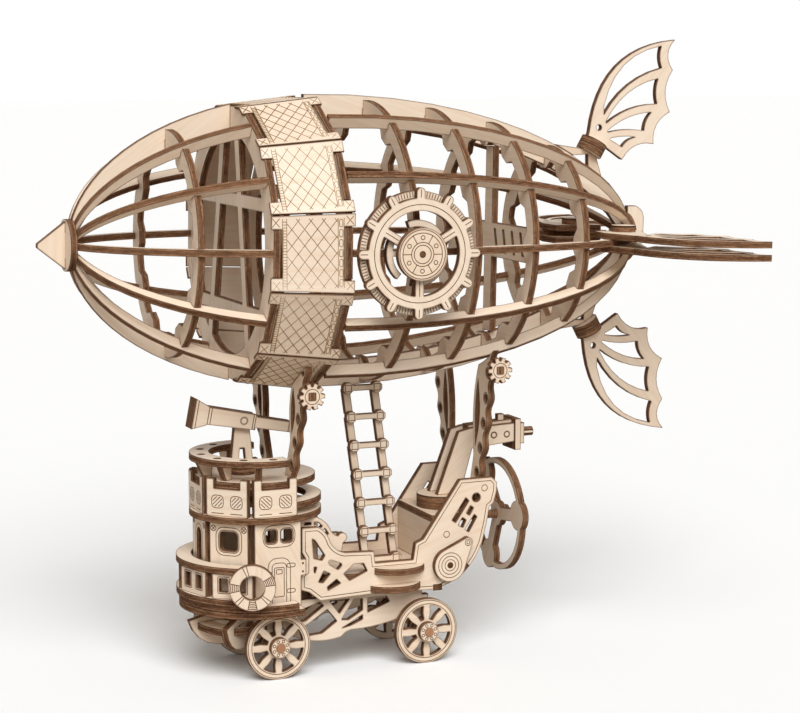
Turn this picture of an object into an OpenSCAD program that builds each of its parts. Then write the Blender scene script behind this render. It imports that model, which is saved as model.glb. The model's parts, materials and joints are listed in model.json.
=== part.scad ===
// Airship model of laser-cut plywood: a ribbed envelope on four struts over a wheeled gondola.
// The nose points to -X, the left side is -Y, and the wheels stand on Z = 0.

/* [Sheet] */
// Thickness of the plywood sheet
sheet = 3; // [2.6:0.1:3.3]
// Thickness of the band panels
skin = 1.2; // [0.8:0.1:1.6]
// Clearance on each side of a slot
slot_gap = 0.1; // [0.05:0.01:0.2]
// Radial clearance of a turning pin
pin_gap = 0.06; // [0.02:0.01:0.1]
// Clearance between faces that turn on each other
turn_gap = 0.3; // [0.2:0.05:0.6]
// Clearance between plates that are glued face to face
ply_gap = 0.02; // [0.01:0.01:0.05]

/* [Envelope] */
// Height of the envelope's belly above the telescope's pivot
belly_gap = 11.5; // [10:0.5:16]
// Nose-up pitch of the envelope over the gondola
env_pitch = 1; // [0:0.1:1.4]
// Largest radius of the envelope
env_r = 67; // [62:1:70]
// Length from the nose disc's face to the widest section
nose_run = 119.3; // [114:0.1:126]
// Length from the widest section to the tail disc
tail_run = 154.5; // [150:0.1:162]
// Radius of the nose disc
nose_r = 11.5; // [10.5:0.1:12.5]
// Radius of the tail disc
tail_r = 11.8; // [10.8:0.1:12.8]
// Length of the nose plate in front of the disc
nose_tip = 12.5; // [9:0.5:16]
// Radial depth of a side longeron
longeron_depth = 5.5; // [5:0.5:7]
// Radial depth of the top and bottom planks
plank_depth = 12; // [10.5:0.5:13]
// Distance of a rib's inner edge from the outer edges of the longerons
rib_w = 9; // [8:0.5:10]
// Depth of a rib's rim below the outer edges of the longerons
rib_sink = 2; // [1:0.25:2.25]
// Reach of a rib's gusset inside its ring
gusset_h = 4; // [3:0.5:5]
// Distance of the front rib from the nose disc's face
front_rib_x = 45; // [38:1:52]
// Front edge of the band
band_x = 75; // [72:0.5:78]
// Length of the band between the outer faces of its bulkheads
band_len = 34.5; // [32:0.5:37]
// Share of the rear run between the band and the first rear rib
rib_first = 0.1765; // [0.165:0.0005:0.19]
// Share of the rear run from rib to rib
rib_share = 0.1887; // [0.178:0.0001:0.195]

/* [Fins] */
// Scale of the fins' bat-wing outline
fin_scale = 1; // [0.9:0.02:1.04]
// Lean of the fin collars from the vertical
fin_lean = 29; // [26:1:32]
// Radius of a fin collar
collar_r = 6.5; // [5.8:0.1:7.5]
// Radius of the fin pins
fin_pin_r = 1.5; // [1.2:0.1:1.7]

/* [Emblem] */
// Radius over the emblem's lugs
emblem_r = 28.5; // [26:0.5:30]
// Number of lugs
lug_count = 12; // [8:1:14]

/* [Wheels] */
// Radius of the road wheels
wheel_r = 15.3; // [14.3:0.1:16.3]
// Radius of the axles
axle_r = 2; // [1.6:0.1:2.3]
// Distance of the front axle behind the tower's axis
front_axle_in = 2.3; // [0.5:0.1:3.5]
// Distance of the rear axle ahead of the stern plate's rear face
rear_axle_in = 28.2; // [25.5:0.1:31]
// Clearance between the wheels and the hull floor
wheel_clear = 0.6; // [0.5:0.1:2]
// Number of spokes in a wheel
spoke_count = 8; // [6:1:10]

/* [Tower] */
// Distance of the tower's axis from the nose disc's face
tower_x = 86.5; // [86:0.1:87]
// Apothem of the tower's outer wall faces
wall_r = 27; // [26:0.1:27.5]
// Height of the tower walls
wall_h = 39; // [36:0.5:42]
// Height of the parapet below the roof
parapet_h = 12.5; // [11:0.5:15]
// Height of the merlons above the roof's underside
merlon_h = 4.5; // [3.5:0.5:6]
// Radius of the roof
roof_r = 27.5; // [27:0.1:28.2]
// Height of the platform above the roof
platform_rise = 7; // [6:0.5:9]
// Radius of the platform ring
platform_r = 30; // [28:0.5:30.5]
// Reach of the balcony beyond the tower's walls
balcony_walk = 9.5; // [9:0.5:11]
// Height of the balcony rail panels
rail_h = 11.5; // [10:0.5:13]

/* [Hull] */
// Half width between the side panels
hull_half = 20.5; // [20:0.1:21]
// Height of the main deck above the hull floor
deck_rise = 7.6; // [6:0.1:9]
// Height of the stern deck above the main deck
stern_rise = 21; // [20:0.5:23]
// Length of the hull from the tower's axis to the stern plate's rear face
hull_len = 103.5; // [101.5:0.5:104.5]
// Distance between the middle of the hull and a strut's foot
strut_y = 16; // [14.5:0.5:17.5]

/* [Moving pieces] */
// Radius of the propeller's hoop
prop_r = 27; // [24:0.5:28]
// Radius of the propeller shaft
shaft_r = 2; // [1.6:0.1:2.4]
// Height of the telescope's pivot above its turntable
scope_rise = 21.5; // [20:0.5:23]
// Radius of the gun's turntable
turret_r = 12; // [11:0.1:12.4]
// Length of the gun's barrel block
barrel_len = 23; // [21:0.5:26]

/* [Hidden] */
$fn = 64;

wood = "BurlyWood";
pale_wood = "Wheat";
dark_wood = "Tan";

// Overlap of shapes that fuse into one plate
weld = 1;

// Envelope profile: two half ellipses that meet at the widest section
spoke_step = 30;
spokes = 360 / spoke_step;
tail_x = nose_run + tail_run;
nose_half = (nose_run - sheet) / sqrt(1 - pow(nose_r / env_r, 2));
tail_half = tail_run / sqrt(1 - pow(tail_r / env_r, 2));
function env_rad(x) =
    env_r * sqrt(max(0, 1 - pow((x - nose_run) / (x < nose_run ? nose_half : tail_half), 2)));

// Least radius at which twelve plates stand side by side
core_r = sheet / 2 / tan(spoke_step / 2) + 4 * slot_gap;
band_end = band_x + band_len;
rib_x = [for (i = [0:3]) band_end + (tail_x - band_end) * (rib_first + i * rib_share)];
function is_plank(k) = k % (spokes / 2) == 0;
function depth(k) = is_plank(k) ? plank_depth : longeron_depth;

// Band: twelve flat panels on two twelve-sided bulkheads
band_lip = 1;
panel_gap = 0.12;
panel_tab_w = 5.5;
panel_tab_l = sheet + 2 * band_lip;
function flat_rad(x) = env_rad(x) * cos(spoke_step / 2);
band_slope = atan((flat_rad(band_end) - flat_rad(band_x)) / band_len);
function band_flat(x) = flat_rad(band_x) + (x - band_x) * tan(band_slope);

// Fin outline: points from the collar's middle, aft and outward
fin_root = [-2.9, 5.3];
fin_tip = [42.4, 50.4];
fin_points = [[41.6, 35.8], [40.7, 15.6], [32.2, 0.2], [15.3, -7.3]];
fin_cells = [
    [[4.8, 18.2], [35, 47.2], [35.5, 36.8], [4.8, 14.1], 7, 4],
    [[6.1, 11], [33.7, 31.6], [33.5, 19.6], [6.1, 10], 4, 2.5],
    [[7.1, 6.5], [30.6, 15.5], [26.8, 6.7], [7.1, 5.8], 2, 1],
    [[8.6, 2.8], [22.2, 3.5], [15, -1.3], [8.6, 2.2], 0.6, 0.2]
];
fin_bow = 13;
fin_scallop = 3.2;
fin_hole = [2.4, 8];
fin_hole_r = 1.4;
fin_root_half = 5;
tang = [[-3.7, 6], [-9.5, -12], [-8.5, -24.5], [14, -27.5], [16.5, -24], [11, -12], [6.1, 1]];
tang_pin = [4, -19];
boss_r = 5.9;
fin_in = 16.1;
fin_rise = 16.3;
fin_x = tail_x - fin_in;
fin_h = env_rad(fin_x + tang_pin[0]) + fin_rise;

// Gondola heights, stacked from the wheels up
floor_z = 2 * wheel_r + wheel_clear;
wall_z = floor_z + sheet;
mid_z = wall_z + wall_h;
roof_z = mid_z + sheet + parapet_h;
platform_z = roof_z + sheet + platform_rise;
rail_z = wall_z + 2 * (sheet + ply_gap);
balcony_z = rail_z + rail_h;
deck_z = floor_z + sheet + deck_rise;
stern_z = deck_z + sheet + stern_rise;
scope_z = roof_z + sheet + turn_gap;
pivot_z = scope_z + sheet + scope_rise;
axis_h = pivot_z + belly_gap + env_r;

// Tower walls stand in an octagon
wall_count = 8;
wall_turn = 360 / wall_count;
wall_side = 2 * (wall_r - sheet) * tan(wall_turn / 2);
wall_gap = 0.4;
rail_turn = 36;
floor_back = 12;
balcony_back = -8;
balcony_r = wall_r + balcony_walk;
balcony_gap = 0.28;
balcony_in = wall_r / cos(wall_turn / 2) + balcony_gap;

// Corners of the hull's floor line from which the side panels are drawn
stern_x = tower_x + hull_len;
tower_foot = [tower_x, floor_z];
stern_foot = [stern_x, floor_z];
front_axle_x = tower_x + front_axle_in;
rear_axle_x = stern_x - rear_axle_in;
wheelbase = rear_axle_x - front_axle_x;
chassis_in = 5.5;
chassis_y = hull_half - chassis_in;

// Whole model
// X of a point drawn at x and height h on the envelope, once the envelope is pitched
pitch_x = rib_x[2];
function pitched_x(x, h) = pitch_x + (x - pitch_x) * cos(env_pitch) + h * sin(env_pitch);
function axis_z(x) = axis_h - (x - pitch_x) * tan(env_pitch);
nose_flat = 0.9;
far_x = pitched_x(fin_x + fin_tip[0] * fin_scale, fin_h + fin_tip[1] * fin_scale);
near_x = pitched_x(-nose_tip, -nose_flat);
origin_x = (far_x + near_x) / 2;

function unit(v) = v / norm(v);
function side_of(v) = [-v[1], v[0]];
function from(foot, points) = [for (p = points) foot + p];
// Points from p towards q on an arc that bows to the left by h; q itself is left out
function bow(p, q, h, n = 6) =
    [for (i = [0:n - 1]) let (t = i / n) p + (q - p) * t + side_of(unit(q - p)) * 4 * h * t * (1 - t)];

// Moves a piece from the nose disc's face to the part's origin
module place() translate([-origin_x, 0, 0]) children();
// Sets a piece drawn about the envelope's axis at its height and pitch
module place_env()
    place() translate([pitch_x, 0, axis_h]) rotate([0, env_pitch, 0]) translate([-pitch_x, 0, 0]) children();
// Upright plate along X; its outline is drawn in X and Z
module plate_xz(y, t = sheet) translate([0, y + t, 0]) rotate([90, 0, 0]) linear_extrude(t) children();
// Upright plate across X; its outline is drawn in Y and Z
module plate_yz(x, t = sheet) translate([x, 0, 0]) rotate([90, 0, 90]) linear_extrude(t) children();
// Level plate; its outline is drawn in X and Y
module plate_xy(z, t = sheet) translate([0, 0, z]) linear_extrude(t) children();
// Plate that stands on the envelope's axis, turned to spoke k; its outline is drawn in X and radius
module spoke_plate(k) rotate([k * spoke_step, 0, 0]) plate_xz(-sheet / 2) children();
module both_sides() { children(); mirror([0, 1, 0]) children(); }
module slot2d(w, h) square([w, h], center = true);
// Opening with rounded corners
module round2d(w, h, r) {
    slot2d(w, h - 2 * r);
    slot2d(w - 2 * r, h);
    for (x = [-1, 1])
        for (y = [-1, 1])
            translate([x * (w / 2 - r), y * (h / 2 - r)]) circle(r);
}

// ENVELOPE

module nose_plate() {
    tab = nose_r / 2;
    rim = nose_r - weld;
    color(pale_wood) place_env() plate_xz(-sheet / 2)
        polygon([[-nose_tip, -nose_flat], [-nose_tip, nose_flat], [0, rim], [0, tab - slot_gap],
            [sheet, tab - slot_gap], [sheet, slot_gap - tab], [0, slot_gap - tab], [0, -rim]]);
}

module nose_disc() color(wood) place_env() plate_yz(0)
    difference() {
        circle(nose_r);
        slot2d(sheet + 2 * slot_gap, nose_r);
    }

// Outline of longeron k between two stations, notched on its inner edge where ribs cross
module longeron2d(x0, x1, k, ribs, nose_end) {
    steps = 14;
    xs = [for (i = [0:steps]) let (t = i / steps)
        nose_end ? x0 + (x1 - x0) * t * t : x1 - (x1 - x0) * (1 - t) * (1 - t)];
    rim = [for (x = xs) [x, env_rad(x)]];
    inner = [for (i = [0:steps]) [xs[steps - i], max(core_r, env_rad(xs[steps - i]) - depth(k))]];
    difference() {
        polygon(concat(rim, inner));
        for (x = ribs)
            translate([x - slot_gap, 0])
                square([sheet + 2 * slot_gap, env_rad(x) - depth(k) / 2]);
    }
}

module front_longerons() color(wood) place_env()
    for (k = [0:spokes - 1])
        spoke_plate(k) longeron2d(sheet, band_x, k, [front_rib_x], true);

module rear_longerons() color(wood) place_env()
    for (k = [0:spokes - 1])
        spoke_plate(k)
            difference() {
                longeron2d(band_end, tail_x, k, rib_x, false);
                if (k % (spokes / 2) == spokes / 4)
                    translate([fin_x, fin_h] + tang_pin) circle(fin_pin_r + pin_gap);
            }

// Ring with gussets inside and a notch for every longeron
module rib2d(x) {
    r = env_rad(x + sheet / 2);
    gusset_w = 9;
    difference() {
        circle(r - rib_sink);
        difference() {
            circle(r - rib_w);
            for (k = [0:spokes - 1])
                rotate(k * spoke_step)
                    polygon([[r - rib_w + weld, -gusset_w], [r - rib_w - gusset_h, -gusset_w / 3],
                        [r - rib_w - gusset_h, gusset_w / 3], [r - rib_w + weld, gusset_w]]);
        }
        for (k = [0:spokes - 1])
            rotate(90 + k * spoke_step)
                translate([env_rad(x) - depth(k) / 2 - slot_gap, -sheet / 2 - slot_gap])
                    square([depth(k), sheet + 2 * slot_gap]);
    }
}

module rib(x) color(wood) place_env() plate_yz(x) rib2d(x);
module front_rib() rib(front_rib_x);
module rib_1() rib(rib_x[0]);
module rib_2() rib(rib_x[1]);
module rib_3() rib(rib_x[2]);
module rib_4() rib(rib_x[3]);

// Twelve-sided plate with two level beams and two splayed legs; teeth on its flats fill the recesses
// of the band panels
module bulkhead2d(x) {
    flat = band_flat(x);
    tooth_gap = 0.5;
    tooth = 2 * flat * tan(spoke_step / 2) - 2 * panel_tab_w - 2 * tooth_gap;
    brace_w = 6;
    beams = [0.33, -0.48];
    leg_ends = [[0.15, 0.88], [0.45, -0.78]];
    ring_w = 10;
    difference() {
        union() {
            rotate(spoke_step / 2) circle(flat / cos(spoke_step / 2), $fn = spokes);
            for (k = [0:spokes - 1])
                rotate(k * spoke_step) translate([flat - weld, -tooth / 2]) square([weld + skin, tooth]);
        }
        difference() {
            circle(flat - ring_w);
            for (z = beams)
                translate([0, z * flat]) slot2d(2 * flat, brace_w);
            for (side = [-1, 1])
                hull()
                    for (p = leg_ends)
                        translate([side * p[0], p[1]] * flat) circle(brace_w / 2);
        }
    }
}

module bulkhead(x) color(dark_wood) place_env() plate_yz(x) bulkhead2d(x);
module front_bulkhead() bulkhead(band_x);
module rear_bulkhead() bulkhead(band_end - sheet);

module band_panels() {
    run = (band_len + 2 * band_lip) / cos(band_slope);
    half0 = flat_rad(band_x - band_lip) * tan(spoke_step / 2) - panel_gap;
    half1 = flat_rad(band_end + band_lip) * tan(spoke_step / 2) - panel_gap;
    edge = [[0, half0], [run, half1], [run, half1 - panel_tab_w], [run - panel_tab_l, half1 - panel_tab_w]];
    other = [[panel_tab_l, half0 - panel_tab_w], [0, half0 - panel_tab_w]];
    outline = concat(edge, [for (p = [3:-1:0]) [edge[p][0], -edge[p][1]]],
        [for (p = [1:-1:0]) [other[p][0], -other[p][1]]], other);
    color(pale_wood) place_env()
        for (k = [0:spokes - 1])
            rotate([k * spoke_step, 0, 0])
                translate([band_x - band_lip, 0, flat_rad(band_x) + panel_gap - band_lip * tan(band_slope)])
                    rotate([0, -band_slope, 0]) linear_extrude(skin) polygon(outline);
}

module tail_disc() color(wood) place_env() plate_yz(tail_x) circle(tail_r);

// Beam and post behind rib 3: the beam lies on the rib's gussets, the post ends between the planks
module cross_beam() {
    behind = rib_x[2] + sheet;
    beam_r = env_rad(rib_x[2] + sheet / 2) - rib_w - gusset_h / 2;
    post_r = env_rad(behind + sheet) - plank_depth - 2 * slot_gap;
    beam_w = 16;
    post_w = 8;
    holes = 4;
    hole_w = 2;
    hole_lean = 3;
    hole_h = beam_w / 3;
    color(dark_wood) place_env() plate_yz(behind)
        difference() {
            union() {
                slot2d(2 * beam_r, beam_w);
                slot2d(post_w, 2 * post_r);
            }
            for (side = [-1, 1])
                for (i = [1:holes])
                    translate([side * i * beam_r / (holes + 1), 0])
                        polygon([[-hole_w, -hole_h], [0, -hole_h], [hole_lean, hole_h],
                            [hole_lean - hole_w, hole_h]]);
        }
}

module tail_tab() {
    tab_l = 9;
    tab_h = 15;
    tab_low = -2;
    tab_bow = 1.6;
    root = tail_x + sheet;
    color(pale_wood) place_env() plate_xz(-sheet / 2)
        polygon(concat([[root, tab_low], [root, tab_h]],
            bow([root + tab_l / 2, tab_h], [root + tab_l, tab_h / 2], tab_bow),
            [[root + tab_l, tab_low]]));
}

// FINS

function fin_edge() = concat(
    bow(fin_root, fin_tip, fin_bow, 12),
    bow(fin_tip, fin_points[0], -fin_scallop),
    bow(fin_points[0], fin_points[1], -fin_scallop),
    bow(fin_points[1], fin_points[2], -fin_scallop),
    bow(fin_points[2], fin_points[3], -fin_scallop),
    [fin_points[3]]);

// Bat-wing plate with four cells, drawn aft and outward from the collar's middle
module fin2d(root) scale(fin_scale)
    difference() {
        polygon(concat(fin_edge(), root));
        for (c = fin_cells)
            polygon(concat(bow(c[0], c[1], c[4]), bow(c[1], c[2], -1), bow(c[2], c[3], -c[5]), [c[3]]));
        translate(fin_hole) circle(fin_hole_r);
    }

// Stack on the leaning collar axis, from the bracket up
seat_low = -1.5 * sheet;
collar_low = seat_low + sheet + turn_gap;
collar_top = collar_low + sheet;
module at_collar() translate([fin_x, 0, fin_h]) rotate([0, fin_lean, 0]) children();
module lower_half() mirror([0, 0, 1]) children();

module fin_plate() {
    axis = [sin(fin_lean), cos(fin_lean)];
    aft = [cos(fin_lean), -sin(fin_lean)];
    root_low = collar_top + ply_gap;
    root = [aft * (collar_r + slot_gap) + axis * root_low, -aft * fin_root_half + axis * root_low];
    translate([fin_x, 0, fin_h]) plate_xz(-sheet / 2) fin2d(root / fin_scale);
}
module fin_collar() at_collar() {
    translate([0, 0, collar_low]) cylinder(h = sheet, r = collar_r);
    translate([0, 0, seat_low]) cylinder(h = collar_top - seat_low, r = fin_pin_r);
}
module fin_seat() at_collar() translate([0, 0, seat_low])
    difference() {
        cylinder(h = sheet, r = collar_r);
        translate([0, 0, -weld]) cylinder(h = sheet + 2 * weld, r = fin_pin_r + pin_gap);
    }
// Forked foot of two legs that stand on the plank's edge and carry the seat disc
module fin_bracket() {
    axis = [sin(fin_lean), cos(fin_lean)];
    aft = [cos(fin_lean), -sin(fin_lean)];
    head = [fin_x, fin_h] + axis * seat_low;
    head_half = 0.6 * collar_r;
    fork_half = 0.2 * collar_r;
    fore_toe = 21;
    fore_heel = 11;
    aft_toe = 3;
    aft_heel = 5;
    fore_leg = [fin_x - fore_toe, fin_x - fore_heel];
    aft_leg = [fin_x - aft_toe, fin_x + aft_heel];
    foot_steps = 4;
    function on_plank(leg) =
        [for (i = [foot_steps:-1:0])
            let (x = leg[0] + (leg[1] - leg[0]) * i / foot_steps) [x, env_rad(x) + slot_gap]];
    plate_xz(-sheet / 2) {
        polygon(concat(on_plank(fore_leg), [head - aft * head_half, head + aft * fork_half]));
        polygon(concat(on_plank(aft_leg), [head - aft * fork_half, head + aft * head_half]));
    }
}

module upper_fin() color(pale_wood) place_env() fin_plate();
module upper_fin_collar() color(dark_wood) place_env() fin_collar();
module upper_fin_seat() color(dark_wood) place_env() fin_seat();
module upper_fin_bracket() color(pale_wood) place_env() fin_bracket();
module lower_fin() color(pale_wood) place_env() lower_half() fin_plate();
module lower_fin_collar() color(dark_wood) place_env() lower_half() fin_collar();
module lower_fin_seat() color(dark_wood) place_env() lower_half() fin_seat();
module lower_fin_bracket() color(pale_wood) place_env() lower_half() fin_bracket();

// Left pair of side fin plates, clamped above and below the side longeron
module side_fin_pair()
    for (z = [sheet / 2, -1.5 * sheet])
        translate([fin_x, -fin_h, 0]) mirror([0, 1, 0]) plate_xy(z)
            difference() {
                union() {
                    fin2d([tang[6] / fin_scale, tang[0] / fin_scale]);
                    polygon(tang);
                }
                translate(tang_pin) circle(fin_pin_r + pin_gap);
            }
module left_fin_plates() color(pale_wood) place_env() side_fin_pair();
module right_fin_plates() color(pale_wood) place_env() mirror([0, 1, 0]) side_fin_pair();
module side_fin_pins() color(dark_wood) place_env() both_sides()
    translate([fin_x + tang_pin[0], -fin_h - tang_pin[1], -1.5 * sheet]) {
        cylinder(h = 3 * sheet, r = fin_pin_r);
        translate([0, 0, 3 * sheet]) cylinder(h = sheet, r = boss_r);
    }

// EMBLEM

emblem_y = -env_r - slot_gap;
emblem_x = rib_x[0] - 1;
lug_w = 4;
lug_run = 4.5;
ring_w = 5.5;
ring_out = emblem_r - lug_run;
ring_in = ring_out - ring_w;
ring_arms = 3;
hub_r0 = ring_in * 0.62;
module at_emblem(layer)
    translate([emblem_x, 0, 0]) plate_xz(emblem_y - (layer + 1) * sheet - layer * ply_gap) children();

module emblem_back_ring() {
    edge_in = 1.5;
    back_in = 2;
    color(dark_wood) place_env() at_emblem(0)
        difference() {
            circle(emblem_r - edge_in);
            circle(ring_in + back_in);
        }
}

module emblem_ring() color(pale_wood) place_env() at_emblem(1)
    difference() {
        union() {
            circle(ring_out);
            for (k = [0:lug_count - 1])
                rotate(k * 360 / lug_count) {
                    translate([ring_out - weld, -lug_w / 2]) square([lug_run + weld - lug_w / 2, lug_w]);
                    translate([emblem_r - lug_w / 2, 0]) circle(lug_w / 2);
                }
        }
        difference() {
            circle(ring_in);
            for (k = [0:ring_arms - 1])
                rotate(30 + k * 360 / ring_arms) translate([0, -lug_w / 2]) square([ring_in + weld, lug_w]);
            circle(ring_in / 2);
        }
    }

// Hub disc in front of the ring and the hooked arms behind it
module emblem_hub() {
    arm_r = ring_in - lug_w;
    arm_w = lug_w / 1.5;
    hook_w = lug_w * 0.75;
    hook_turn = -40;
    color(pale_wood) place_env() {
        at_emblem(2) circle(hub_r0);
        at_emblem(0) {
            circle(lug_w);
            for (k = [0:ring_arms - 1])
                rotate(60 + k * 360 / ring_arms) {
                    translate([0, -arm_w / 2]) square([arm_r, arm_w]);
                    intersection() {
                        difference() {
                            circle(arm_r);
                            circle(arm_r - hook_w);
                        }
                        rotate(hook_turn) square(arm_r);
                    }
                }
        }
    }
}

// SUSPENSION

// Outline from foot to head: a chain of eyes on the outer side, an arc with a crescent opening on the
// inner, and a tenon for the cap gear
module strut2d(foot, head, lobes, gear_z) {
    half = 4.2;
    swell = 1.2;
    sway = 0.8;
    eye_r = 2.1;
    eye_out = 1.9;
    arc_from = 0.3;
    arc_reach = 7;
    arc_w = 2.4;
    gap_w = 5;
    gap_from = 0.36;
    gap_run = 0.38;
    gap_steps = 8;
    steps = 8 * lobes;
    function mid(t) = foot + (head - foot) * t + [(1 - cos(360 * t)) * sway, 0];
    function outer(t) = mid(t) + [half - swell * cos(360 * t * lobes), 0];
    function reach(t) = half + arc_reach * sin(180 * max(0, (t - arc_from) / (1 - arc_from)));
    function inner(t) = mid(t) - [reach(t), 0];
    function arc(i) = inner(gap_from + gap_run * i / gap_steps) + [arc_w, 0];
    difference() {
        polygon(concat([for (i = [0:steps]) inner(i / steps)], [for (i = [steps:-1:0]) outer(i / steps)]));
        for (i = [0:lobes - 1])
            translate(mid((i + 0.5) / lobes) + [eye_out, 0]) circle(eye_r);
        polygon(concat([for (i = [0:gap_steps]) arc(i)],
            [for (i = [gap_steps - 1:-1:1]) arc(i) + [gap_w * sin(180 * i / gap_steps), 0]]));
    }
    translate([head[0], gear_z - peg_w / 2]) square([gear_out + sheet, peg_w]);
}

peg_w = 3.2;
gear_r = 6;
strut_splay = 20;
head_y = strut_y + strut_splay;
gear_out = 5;
front_strut_x = tower_x + 10.5;
front_foot_z = roof_z + sheet;
head_rise = 16;
front_gear_z = axis_h - env_r + 4;
rear_strut_x = stern_x;
rear_foot_in = 5.1;
rear_head_in = 4;
rear_foot_z = stern_z + sheet;
rear_gear_z = axis_h - env_r + 10;

// Outer face of the band panels at station x
function band_out(x) = band_flat(x) + panel_gap + skin / cos(band_slope);

// Front pair: heads shaped to the flats of the band above
module front_struts() color(wood) place() both_sides()
    plate_yz(front_strut_x)
        difference() {
            strut2d([strut_y, front_foot_z], [head_y, front_gear_z + head_rise], 5, front_gear_z);
            translate([0, axis_z(front_strut_x)]) rotate(spoke_step / 2)
                circle((band_out(front_strut_x + sheet) + 2 * slot_gap) / cos(spoke_step / 2), $fn = spokes);
        }

// Rear pair: heads shaped to the ring of longerons above
module rear_struts() color(wood) place() both_sides()
    plate_yz(rear_strut_x)
        difference() {
            strut2d([strut_y - rear_foot_in, rear_foot_z], [head_y - rear_head_in, rear_gear_z + head_rise],
                7, rear_gear_z);
            translate([0, axis_z(rear_strut_x)]) circle(env_rad(rear_strut_x) + 2 * slot_gap);
        }

module gear2d() {
    teeth = 10;
    tooth_w = 2;
    tooth_h = 1.6;
    difference() {
        union() {
            circle(gear_r - tooth_h);
            for (k = [0:teeth - 1])
                rotate(k * 360 / teeth) translate([gear_r - tooth_w, -tooth_w / 2]) square(tooth_w);
        }
        slot2d(sheet + 2 * slot_gap, peg_w + 2 * slot_gap);
    }
}

// Toothed caps on the tenons of the struts
module strut_gears() color(pale_wood) place() both_sides()
    for (p = [[front_strut_x, head_y, front_gear_z], [rear_strut_x, head_y - rear_head_in, rear_gear_z]])
        translate([p[0] + sheet / 2, 0, p[2]]) plate_xz(-p[1] - gear_out - sheet) gear2d();

// Ladder of links, leaning aft towards its foot
ladder_half = 7.1;
ladder_y = -1.5 * sheet - slot_gap;
ladder_top_z = axis_z(rib_x[0]) - env_rad(rib_x[0]) + rib_sink - 2 * slot_gap;
ladder_low_z = deck_z + sheet;
rung_pitch = 13;
rung_h = 5.2;
rung_bar = 2.6;
rung_sides = 8;
link_half = 1.8;
rung_count = floor((ladder_top_z - ladder_low_z - rung_h) / rung_pitch) + 1;
rung_step = (ladder_top_z - ladder_low_z - rung_h) / (rung_count - 1);
ladder_fore = 1.7;
ladder_x = rib_x[0] - ladder_fore;
ladder_lean = 0.117;
function rung_at(i) = [ladder_x + i * rung_step * ladder_lean, ladder_top_z - rung_h / 2 - i * rung_step];
link_peg = 1.8;

module ladder_rungs() color(pale_wood) place()
    for (i = [0:rung_count - 1])
        translate([rung_at(i)[0], 0, rung_at(i)[1]]) {
            plate_xz(ladder_y - sheet) {
                slot2d(2 * ladder_half, rung_bar);
                for (s = [-1, 1])
                    translate([s * ladder_half, 0])
                        rotate(180 / rung_sides) circle(rung_h / 2 / cos(180 / rung_sides), $fn = rung_sides);
            }
            for (s = [-1, 1])
                plate_xz(ladder_y) translate([s * ladder_half, 0]) slot2d(link_peg, link_peg);
        }

module ladder_links() color(wood) place()
    for (i = [0:rung_count - 2])
        for (s = [-1, 1])
            plate_xz(ladder_y) {
                a = rung_at(i) + [s * ladder_half, 0];
                b = rung_at(i + 1) + [s * ladder_half, 0];
                clear = link_peg / 2 + slot_gap;
                polygon([[a[0] - link_half, a[1] - clear], [a[0] + link_half, a[1] - clear],
                    [b[0] + link_half, b[1] + clear], [b[0] - link_half, b[1] + clear]]);
            }

// GONDOLA

floor_end = stern_x - 28;
floor_half = chassis_y - ply_gap;
module hull_floor() color(wood) place() plate_xy(floor_z) {
    balcony_arc(balcony_r - base_step, 0, floor_back);
    translate([tower_x, -floor_half]) square([floor_end - tower_x, 2 * floor_half]);
}

// Front arc of a ring about the tower, cut off square at the rear
base_w = 6.5;
base_step = 1.2;
module balcony_arc(r_out, r_in, back)
    translate([tower_x, 0])
        difference() {
            circle(r_out);
            if (r_in > 0) circle(r_in);
            translate([back, -2 * r_out]) square([2 * r_out, 4 * r_out]);
        }
// Two rings on the floor, the upper one wider
module base_ring() color(dark_wood) place() {
    plate_xy(wall_z) balcony_arc(balcony_r - base_step, balcony_r - base_w, floor_back - sheet);
    plate_xy(wall_z + sheet + ply_gap) balcony_arc(balcony_r, balcony_r - base_w, balcony_back);
}
module balcony_ring() color(wood) place()
    plate_xy(balcony_z) balcony_arc(balcony_r, balcony_in, balcony_back);

rail_in = 4.5;
rail_r = balcony_r - rail_in;
rail_panels = 4;
pane_w = 4;
pane_h = 6.2;
pane_x = 4.2;
pane_drop = 5.2;
module balcony_panels() {
    panel_half = rail_r * tan(rail_turn / 2) - weld;
    color(pale_wood) place() translate([tower_x, 0, 0])
        for (k = [0:rail_panels - 1])
            rotate(180 + (k - (rail_panels - 1) / 2) * rail_turn)
                plate_yz(rail_r)
                    difference() {
                        translate([-panel_half, rail_z]) square([2 * panel_half, rail_h]);
                        for (s = [-1, 1])
                            translate([s * pane_x, balcony_z - pane_drop]) slot2d(pane_w, pane_h);
                    }
}

// Ring-shaped lifebuoy on a hook over the balcony's edge
buoy_r = 10.4;
buoy_in = 5.5;
buoy_drop = 5;
buoy_turn = 249;
hook_w = 3.2;
hook_h = 1.6;
module lifebuoy() color(pale_wood) place() translate([tower_x, 0, 0]) rotate(buoy_turn) {
    plate_yz(balcony_r + slot_gap)
        translate([0, balcony_z - buoy_drop])
            difference() {
                circle(buoy_r);
                circle(buoy_in);
            }
    plate_yz(balcony_r - sheet, 2 * sheet + slot_gap)
        translate([0, balcony_z + sheet + hook_h / 2]) slot2d(hook_w, hook_h);
}

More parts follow.
